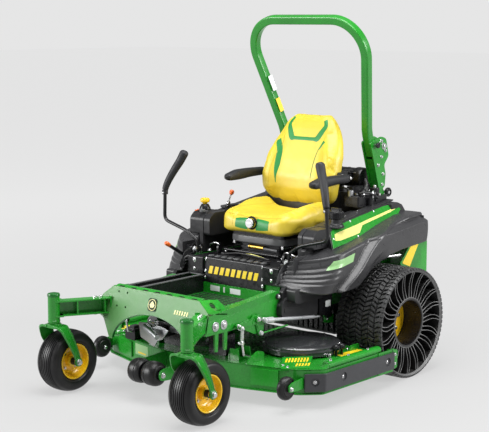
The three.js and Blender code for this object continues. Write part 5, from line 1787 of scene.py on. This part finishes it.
def deck():
    plan = both_ways(DECK_PLAN)
    soft = rounded(plan, 26, 4)
    form = Form()
    form.add(prism(soft, "z", 199, 205.5))
    wall_out, wall_in = soft, shrunk(soft, 6)
    n = len(soft)
    rings = []
    for i in range(n):
        (x0, y0), (x1, y1) = wall_out[i], wall_in[i]
        low = 75 if soft[i][1] < 300 else 176
        rings.append([(x0, y0, low), (x0, y0, 204), (x1, y1, 204), (x1, y1, low)])
    form.add(skinned(rings, closed=True))
    lip = shrunk(soft, -12)
    first = next(i for i in range(n) if soft[i][1] > 285 >= soft[(i + 1) % n][1])
    rings = []
    for i in ((first + 1 + j) % n for j in range(n)):
        if soft[i][1] > 285:
            break
        (x0, y0), (x1, y1) = lip[i], soft[i]
        x0 = max(-774, min(774, x0))
        rings.append([(x0, y0, 76), (x0, y0, 82), (x1, y1, 82), (x1, y1, 76)])
    form.add(skinned(rings))
    for x, y in SPINDLES:
        form.add(lathe([(14.5, 150), (46, 150), (46, 205), (60, 207), (60, 212), (46, 214), (40, 222),
                        (14.5, 222)], (x, y, 0), "z", 48), 1)
        for i in range(6):
            a = TURN * i / 6
            form.add(bolt((x + 54 * math.cos(a), y + 54 * math.sin(a), 212), (0, 0, 1), 11, 6, 8), 2)
    for k in (1, -1):
        parts = Form()
        parts.add(plate([(262, 76), (395, 76), (395, 196), (388, 200), (262, 200)], 6, "x", 770, 775.5))
        parts.add(plate([(388, 84), (434, 92), (438, 188), (388, 204)], 8, "x", 768.5, 775.5))
        for z in (116, 166):
            parts.add(dome_bolt((775.5, 418, z), (1, 0, 0), 7), 2)
        parts.add(plate([(386, 76), (396, 76), (396, 196), (386, 196)], 3, "x", 740, 775))
        channel = [(724, 203), (771, 203), (771, 220), (758, 231), (736, 231), (724, 222)]
        parts.add(plate(channel, 8, "y", -158, 292, 4))
        parts.add(plate([(-186, 204), (-150, 226), (-140, 226), (-140, 204)], 4, "x", 745, 769))
        arm = rounded([(-445, 110), (-436, 200), (-470, 203), (-690, 190), (-716, 178), (-722, 152),
                       (-712, 132), (-690, 128)], 12)
        parts.add(prism(arm, "x", 108, 116))
        parts.add(bolt((116, -695, 157), (1, 0, 0), 19, 10, 15), 2)
        post = rounded([(-402, 112), (-360, 108), (-272, 112), (-272, 166), (-360, 160), (-402, 146)], 12)
        parts.add(prism(post, "x", 697, 705))
        parts.add(bolt((705, -384, 126), (1, 0, 0), 17, 9), 2)
        parts.add(lathe([(0.05, -27), (8, -27), (8, 36), (0.05, 36)], CORNER_WHEEL_AT, "x", 20), 2)
        parts.add(bolt((643, -384, 126), (-1, 0, 0), 17, 8), 2)
        tower = [(250, 205), (330, 205), (322, 262), (266, 262)]
        for y0 in (-352, -262):
            parts.add(plate(tower, 10, "y", y0, y0 + 6))
        parts.add(block((262, -352, 204), (268, -256, 250)))
        parts.add(plate([(-395, 205), (-250, 205), (-250, 246), (-300, 262), (-372, 232)], 10, "x", 408, 414))
        parts.add(plate([(176, 205), (268, 205), (262, 236), (190, 236)], 8, "x", 640, 646))
        for x, y in ((700, 260), (560, -120), (340, -220), (600, 220), (220, 200), (180, -300)):
            parts.add(dome_bolt((x, y, 205.5), (0, 0, 1), 8), 2)
        for y in (-120, 30, 200):
            parts.add(bolt((747, y, 231), (0, 0, 1), 13, 7), 2)
        form.merge(parts.sided(k))
    form.add(lathe([(0.05, -122), (8, -122), (8, 122), (0.05, 122)], ROLLER_AT, "x", 20), 2)
    piece("deck_body", form, "deck", (GREEN, CAST, STEEL), ["deck_shell"], 1.6)


def deck_corner_plates():
    trim = Form()
    corners = [Vector(p) for p in ((500, -205, 224), (602, -84, 224), (704, -240, 208), (604, -346, 208))]
    along_u, along_v = corners[1] - corners[0], corners[3] - corners[0]
    up = along_v.cross(along_u).normalized()
    for k in (1, -1):
        side = Form()
        side.add(skinned([[tuple(p - up * d) for p in corners] for d in (12, 0)]))
        for v0, v1, first, count in ((0.14, 0.48, 0.10, 8), (0.60, 0.84, 0.46, 5)):
            for i in range(count):
                u0 = first + i * 0.10
                bar = [(u0, v1), (u0 + 0.06, v1), (u0 + 0.09, v0), (u0 + 0.03, v0)]
                bar = [corners[0] + along_u * u + along_v * v for u, v in bar]
                side.add(skinned([[tuple(p + up * d) for p in bar] for d in (-1, 1)]), 2)
        box = [(432, -375, z0) for z0 in (104, 190)] + [(578, -330, z0) for z0 in (190, 104)]
        side.add(skinned([[(x + 0.294 * d, y - 0.956 * d, z) for x, y, z in box] for d in (-1, 9)]))
        side.add(bolt(tuple(corners[0] + along_u * 0.06 + along_v * 0.7), tuple(up), 13, 6), 1)
        side.add(bolt(tuple(corners[0] + along_u * 0.22 + along_v * 0.9), tuple(up), 13, 6), 1)
        trim.merge(side.sided(k))
    piece("deck_corner_plates", trim, "deck", (GREEN, STEEL, DECAL_YELLOW), (), 1.2)


def belt_idlers():
    housings = Form()
    for x0, x1, y0, top in ((-474, -396, -392, 268), (-236, -96, -330, 318), (96, 220, -330, 322)):
        housings.add(pad((x0, 204, x1, top), 16, "y", y0, y0 + 74))
        housings.add(pad((x0 + 20, top - 4, x1 - 20, top + 13), 6, "y", y0 + 14, y0 + 60), 1)
    housings.add(tube([(-420, -340, 262), (-380, -350, 282), (-300, -330, 282), (-240, -310, 262)], 8, 14), 1)
    piece("belt_idler_housings", housings, "deck", (BLACK, CAST), (), 2.5)


def deck_labels():
    labels = Form()
    for x in (640, -690):
        labels.add(pad((x, 64, x + 50, 250), 6, "z", 205.6, 206.8))
    slope_x, slope_y = -0.9767, 0.2149
    for s0, s1, z0, z1, out, paint in ((-14, 112, 130, 190, 0.8, 1), (6, 84, 140, 148, 1.6, 0)):
        face = [(-290 + slope_x * s, -409.2 + slope_y * s, z)
                for s, z in ((s0, z0), (s0, z1), (s1, z1), (s1, z0))]
        labels.add(skinned([[(x - slope_y * d, y + slope_x * d, z) for x, y, z in face] for d in (-1, out)]),
                   paint)
    piece("deck_labels", labels, "deck", (DECAL_YELLOW, DECAL_PALE), (), 0.3)


def deck_springs():
    springs = Form()
    for k in (1, -1):
        springs.add(spring((k * 472, -126, 222), (k * 560, -66, 222), 11, 2.2, 15))
        springs.add(spring((k * 572, -58, 222), (k * 640, -10, 222), 9, 2.0, 10))
        springs.add(dome_bolt((k * 462, -134, 206), (0, 0, 1), 9, 22))
        springs.add(dome_bolt((k * 650, -2, 206), (0, 0, 1), 9, 22))
    piece("deck_springs", springs, "deck", (STEEL,), angle=60)


def cover_knobs():
    knobs = Form()
    for k in (1, -1):
        for x, y in ((652, 52), (655, 96)):
            knobs.add(lathe([(0.05, 205), (7, 205), (7, 236), (16, 240), (20, 248), (18, 260), (10, 266),
                             (0.05, 267)], (k * x, y, 0), "z", 32))
            for i in range(5):
                a = TURN * i / 5
                knobs.add(lathe([(0.05, 240), (7, 242), (8, 252), (5, 261), (0.05, 262)],
                                (k * x + 15 * math.cos(a), y + 15 * math.sin(a), 0), "z", 14))
    piece("cover_knobs", knobs, "deck", (BLACK,), angle=50)


def belt_covers():
    for side, k in SIDES:
        form = Form()
        r = COVER_R
        profile = [(7, 281), (60, 278.5), (150, 270), (r - 28, 265), (r - 14, 261), (r - 6, 254),
                   (r - 6, 246), (r, 244), (r + 1, 240), (r + 1, 236), (r - 6, 236), (r - 8, 250),
                   (r - 20, 256), (150, 265), (60, 273), (7, 276)]
        form.add(lathe(profile, (COVER_X, COVER_Y, 0), "z", 110))
        form.add(lathe([(r - 6, 216), (r - 2, 216), (r - 2, 235), (r - 6, 235)], (COVER_X, COVER_Y, 0), "z",
                       90))
        for a in (0.4, 1.6, 2.8, 4.0, 5.2):
            x, y = COVER_X + 205 * math.cos(a), COVER_Y + 205 * math.sin(a)
            form.add(dome_bolt((x, y, 257), (0, 0, 1), 6, 5), 1)
        piece("belt_shield_" + side, form.sided(k), "deck", (COVER_BLACK, STEEL),
              ["belt_cover_" + side], angle=32)


def bumpers():
    for side, k in SIDES:
        plan = [(776.6, 394), (776.6, -200), (709, -268), (709, -288), (716, -289), (789.5, -212),
                (789.5, 394)]
        bumper = Form().add(plate(plan, 8, "z", 94, 184, 4))
        cutters = [lathe([(0.05, -6), (22, -6), (26, 8), (0.05, 8)], (k * 790, y, 142), "x", 32)
                   for y in (330, -60)]
        out = Vector((0.72, -0.69, 0))
        spot = Vector((750, -250, 142))
        cutters.append(turned_to(lathe([(0.05, -6), (20, -6), (24, 14), (0.05, 14)], (0, 0, 0), "z", 32),
                                 (k * out.x, out.y, 0), (k * spot.x, spot.y, spot.z)))
        piece("edge_bumper_" + side, bumper.sided(k), "deck", (BUMPER_GREY,),
              ["side_bumper_" + side], 8, 4, cut=cutters)
        form = Form()
        for y in (330, -60):
            form.add(dome_bolt((783.6, y, 142), (1, 0, 0), 8, 5))
        form.add(dome_bolt(tuple(spot - out * 6), tuple(out), 8, 6))
        piece("bumper_bolts_" + side, form.sided(k), "deck", (STEEL,), angle=50)


def lift_gear():
    for side, k in SIDES:
        form = Form()
        outline = rounded([(-452, 420), (-452, 398), (-300, 398), (-276, 334), (-250, 334), (-226, 408),
                           (-230, 426), (-262, 446), (-318, 446), (-340, 424)], 9, 4)
        form.add(prism(outline, "x", 390.5, 399.5))
        form.add(plate([(-330, 404), (-300, 404), (-282, 372), (-268, 372), (-250, 412), (-262, 432),
                        (-318, 432)], 7, "x", 399.5, 402))
        form.add(disc(20, 381, 412, (0, -290, 425), "x", 32, 2))
        form.add(bolt((412, -290, 425), (1, 0, 0), 19, 9), 1)
        for y, z in ((-239, 413), (-262, 348), (-435, 410)):
            form.add(bolt((400, y, z), (1, 0, 0), 17, 12, 13), 1)
        piece("lift_crank_" + side, form.sided(k), "bellcrank_" + side, (GREEN, STEEL),
              ["lift_bellcrank_" + side], 1.4)

        rods = Form()
        rods.add(tube([(424, -214, 411), (424, 150, 367)], 9.5, 20))
        rods.add(tube([(424, 150, 367), (424, 196, 361)], 6, 16))
        rods.add(tube([(424, -246, 414.5), (424, -196, 409)], 16, 24), 1)
        rods.add(disc(15, 412, 436, (0, -250, 415), "x", 28, 3), 1)
        rods.add(disc(8, 402, 438, (0, -250, 415), "x", 20, 2))
        rods.add(tube([(414, -268, 350), (414, -60, 356)], 4.5, 14), 2)
        rods.add(disc(11, 404, 420, (0, -272, 350), "x", 24, 2))
        piece("lift_rods_" + side, rods.sided(k), "chassis", (SILVER, SILVER, GREEN), angle=40)

        link = Form()
        link.add(plate([(-446, 322), (-424, 318), (-420, 408), (-440, 412)], 8, "x", 418, 424))
        link.add(tube([(421, -432, 322), (421, -420, 262)], 6, 14))
        link.add(disc(13, 402, 428, (0, -434, 402), "x", 28, 2))
        link.add(disc(11, 402, 430, (0, -434, 326), "x", 28, 2))
        link.add(tube([(421, -420, 262), (411, -360, 240)], 6, 14))
        link.add(bolt((426, -434, 402), (1, 0, 0), 15, 8))
        piece("lift_link_" + side, link.sided(k), "deck", (STEEL,), (), 1)


# ---------------------------------------------------------------- engine and the parts round it
def engine():
    form = Form()
    form.add(plate([(-150, 690), (150, 690), (150, 915), (-150, 915)], 18, "z", 489, 748, 4))
    for k in (1, -1):
        x0, x1 = sorted((k * 148, k * 246))
        form.add(block((x0, 722, 566), (x1, 838, 700)))
        for i in range(9):
            x = k * (160 + i * 11)
            form.add(pad((708, 552, 852, 714), 12, "x", x - 2, x + 2))
        lo, hi = sorted((k * 246, k * 262))
        form.add(pad((716, 560, 844, 706), 16, "x", lo, hi), 1)
        for y in (732, 828):
            for z in (578, 690):
                form.add(bolt((k * 261, y, z), (k, 0, 0), 13, 8), 2)
        form.add(tube(bent([(k * 250, 850, 600), (k * 250, 900, 590), (k * 190, 925, 560),
                            (k * 120, 930, 520)], 34), 15, 20), 2)
    for i in range(8):
        form.add(block((-120 + i * 32, 683, 520), (-110 + i * 32, 691, 730)))
    form.add(lathe([(0.05, 915), (38, 915), (38, 965), (34, 972), (0.05, 972)], (-60, 0, 610), "y", 36), 3)
    form.add(tube([(60, 700, 740), (60, 668, 780)], 12, 16), 3)
    piece("engine_case", form, "chassis", (CAST, ALLOY, STEEL, BLACK), ["engine_block"], 1.6,
          cut=[disc(22, 480, 760, (0, ENGINE_Y, 0), "z", 28)])


def engine_hood():
    hood = Form()
    outline = [(118 * math.cos(a), 795 + 118 * math.sin(a))
               for a in [math.pi * (1 + i / 20) for i in range(21)]]
    outline += [(200, 800), (200, 896), (140, 926), (-140, 926), (-200, 896), (-200, 800)]
    soft = rounded(outline, 10, 2)
    grown = [(x * 0.96, 800 + (y - 800) * 0.96) for x, y in soft]
    hood.add(skinned([[(x, y, z) for x, y in o] for o, z in ((soft, 751), (soft, 935), (grown, 958))]))
    piece("engine_hood", hood, "chassis", (CHARCOAL,), ["engine_shroud"], 2.5,
          cut=[disc(104, 800, 980, (0, ENGINE_Y, 0), "z", 64), disc(22, 740, 900, (0, ENGINE_Y, 0), "z", 28)])


def air_canister():
    air = Form()
    air.add(lathe([(0.05, -150), (40, -150), (52, -144), (55, -130), (55, -20), (57, -18), (57, -8), (55, -6),
                   (55, 180), (60, 184), (61, 196), (60, 224), (54, 236), (30, 240), (0.05, 240)],
                  AIR_CLEANER_AT, "x", 64))
    for x in (-100, -60, 60, 120):
        air.add(lathe([(55, x - 2), (57, x - 2), (57, x + 2), (55, x + 2)], AIR_CLEANER_AT, "x", 64))
    for a in (0.5, 2.6, 4.7):
        y, z = 862 + 60 * math.cos(a), 1042 + 60 * math.sin(a)
        air.add(tube([(160, y, z), (206, y, z)], 5, 12), 1)
    air.add(pad((-60, 960, 60, 1000), 6, "y", 882, 898))
    air.add(lathe([(0.05, 0), (30, 0), (30, 30), (34, 34), (34, 44), (26, 50), (0.05, 50)], (160, 800, 1040),
                  "z", 40))
    piece("air_canister", air, "chassis", (BLACK, STEEL), ["air_cleaner"], 1)


def engine_dressing():
    extras = Form()
    extras.add(tube(spline([(235, 868, 1030), (262, 850, 1000), (262, 812, 960), (236, 780, 930),
                            (196, 772, 915)], 8), 19, 20))
    extras.add(tube(spline([(-120, 846, 1000), (-190, 820, 985), (-210, 790, 950), (-190, 770, 920)], 8), 17,
                    20))
    extras.add(disc(46, 940, 985, (236, 800, 0), "z", 44, 6), 1)
    extras.add(disc(34, 984, 1002, (236, 800, 0), "z", 44, 5), 1)
    extras.add(tube([(330, 700, 958), (400, 745, 962)], 30, 32), 1)
    extras.add(tube([(342, 708, 959), (348, 712, 959.5)], 33, 32), 2)
    extras.add(tube([(384, 735, 961.5), (390, 739, 962)], 33, 32), 2)
    extras.add(disc(16, 960, 996, (300, 640, 0), "z", 28, 3), 3)
    extras.add(plate([(262, 620), (372, 620), (372, 700), (262, 700)], 14, "z", 906, 962), 1)
    for i in range(6):
        extras.add(pad((270, 628 + i * 12, 364, 633 + i * 12), 2, "z", 961, 967), 1)
    extras.add(tube(bent([(300, 660, 966), (290, 640, 1000), (240, 640, 1010), (200, 690, 990)], 20), 5, 12))
    extras.add(tube(bent([(330, 680, 962), (372, 640, 990), (400, 690, 985), (404, 760, 950)], 24), 7, 12))
    extras.add(disc(28, 960, 1002, (350, 800, 0), "z", 40, 6), 1)
    extras.add(disc(10, 1000, 1016, (350, 800, 0), "z", 24, 2), 2)
    for x, y in ((280, 720), (384, 800), (300, 840)):
        extras.add(bolt((x, y, 962), (0, 0, 1), 15, 10), 2)
    extras.add(plate([(262, 700), (400, 700), (400, 862), (262, 862)], 20, "z", 868, 961), 1)
    extras.add(plate([(224, 698), (270, 698), (270, 800), (224, 800)], 10, "z", 906, 1006), 1)
    piece("engine_dressing", extras, "chassis", (HOSE, BLACK, STEEL, ALLOY), (), 1)


def exhaust_box():
    muffler = Form()
    muffler.add(lathe([(0.05, -190), (40, -190), (48, -182), (48, 182), (40, 190), (0.05, 190)],
                      (0, 905, 560), "x", 48))
    muffler.add(tube(bent([(150, 905, 600), (150, 905, 680), (150, 880, 690)], 20), 16, 20))
    for i in range(11):
        x = -150 + i * 30
        muffler.add(lathe([(48, x - 1.5), (50, x - 1.5), (50, x + 1.5), (48, x + 1.5)], (0, 905, 560), "x",
                          48))
    piece("exhaust_box", muffler, "chassis", (CAST,), (), 0.8)


def transaxles():
    """The drive units between the rear wheels, behind the deck."""
    form = Form()
    for k in (1, -1):
        unit = Form().add(plate([(452, 200), (580, 190), (650, 240), (650, 388), (466, 388), (450, 340)], 16,
                                "x", 0, 330))
        unit.add(plate([(460, 206), (560, 206), (560, 330), (460, 330)], 14, "x", 330, 452))
        for i in range(7):
            unit.add(pad((70 + 36 * i, 444, 80 + 36 * i, 620), 3, "z", 214, 380))
        unit.add(tube([(300, 600, 300), (420, 600, 290)], 44, 28), 1)
        form.merge(unit.sided(k))
    piece("transaxles", form, "chassis", (BLACK, CAST), (), 3)


def underbody():
    """What shows through the front arch and beside the rails."""
    form = Form()
    form.add(lathe([(12, 300), (60, 300), (112, 318), (128, 330), (128, 336), (110, 332), (60, 314),
                    (12, 312)], (30, -470, 70), "z", 64), 0)
    form.add(disc(30, 352, 392, (30, -470, 0), "z", 36, 4), 0)
    body = rounded([(-40, -500), (60, -500), (90, -440), (60, -390), (-30, -390), (-60, -440)], 14)
    form.add(prism(body, "z", 330, 372), 1)
    form.add(tube([(-150, -560, 352), (-20, -600, 318)], 15, 20), 1)
    form.add(tube([(-110, -540, 318), (-30, -590, 350)], 11, 16), 1)
    casting = [(-176, 356), (-128, 360), (-104, 336), (-44, 356), (2, 346), (-26, 312), (-62, 300),
               (-84, 268), (-124, 286), (-166, 300)]
    form.add(plate(casting, 8, "y", -556, -530), 1)
    form.add(plate(shrunk(casting, 14), 5, "y", -564, -556), 1)
    form.add(plate([(-70, -540), (-44, -540), (-44, -420), (-70, -420)], 8, "z", 300, 400), 0)
    for i in range(7):
        z = 306 + i * 12
        form.add(lathe([(14, z), (20, z), (20, z + 7), (14, z + 7)], (-88, -520, 0), "z", 28), 2)
    form.add(plate([(-560, 392), (-400, 392), (-400, 434), (-560, 434)], 10, "x", -8, 2), 0)
    # The cross members under the floor get the darkened green: painted shade.
    form.add(block((-331, -440, 398), (331, -400, 436)), 3)
    form.add(block((-331, -90, 398), (331, -50, 436)), 3)
    for k in (1, -1):
        strap = Form().add(plate([(-412, 396), (-412, 422), (-270, 438), (-224, 354), (-300, 346)], 8, "x",
                                 384, 392), 4)
        for y in (-592, -524):
            strap.add(plate([(y + 4, 300), (y + 24, 300), (y + 30, 412), (y, 412)], 4, "x", 366, 378), 4)
        form.merge(strap.sided(k))
    piece("drive_linkage", form, "chassis", (BLACK, ALLOY, STEEL, SHADE_PAINTED_GREEN, GREEN), (), 1.4)


def side_boxes():
    side = Form()
    for k in (1, -1):
        half = Form()
        half.add(plate([(200, 368), (258, 356), (268, 340), (312, 340), (312, 560), (200, 560)], 10, "x", 384,
                       424))
        half.add(plate([(252, 404), (298, 404), (298, 438), (252, 438)], 4, "x", 423, 425.5), 1)
        half.add(plate([(-112, 404), (196, 370), (196, 474), (70, 506), (-60, 512), (-112, 470)], 24, "x",
                       372, 416), 2)
        half.add(plate([(-90, 424), (60, 402), (60, 440), (-90, 452)], 10, "x", 414, 419), 2)
        half.add(plate([(258, 314), (340, 300), (340, 350), (258, 360)], 5, "x", 404, 414), 4)
        half.add(bolt((414, 282, 332), (1, 0, 0), 14, 7), 5)
        half.add(tube(bent([(396, -120, 470), (402, -40, 440), (398, 60, 420), (404, 170, 400)], 60), 8, 14),
                 3)
        side.merge(half.sided(k))
    piece("side_boxes", side, "chassis", (BLACK, DECAL_WHITE, CHARCOAL, HOSE, GREEN, STEEL),
          (), 1.8)

def plain_nodes():
    """CAD nodes whose shape is kept: they get the same finishes as the pieces round them."""
    for node, paint in (("engine_fan", CAST), ("transaxle_left", CAST), ("transaxle_right", CAST),
                        ("spindle_centre", STEEL), ("spindle_left", STEEL), ("spindle_right", STEEL)):
        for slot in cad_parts[node].material_slots:
            slot.material = paint


stage()
drive_wheels()
casters()
rollers()
front_plate()
panel_lip()
arch_rim()
front_badge()
gussets()
rails()
caster_arms()
foot_tray()
kick_plate()
tray_brackets()
engine_plate()
rear_guard()
roll_bar()
fenders()
consoles()
filler()
pull_knob()
throttle_knob()
lift_handle()
height_dial()
levers()
seat_suspension()
seat_rails()
weight_dial()
seat()
armrest_pads()
deck()
deck_corner_plates()
belt_idlers()
deck_labels()
deck_springs()
cover_knobs()
belt_covers()
bumpers()
lift_gear()
engine()
engine_hood()
air_canister()
engine_dressing()
exhaust_box()
underbody()
side_boxes()
transaxles()
plain_nodes()
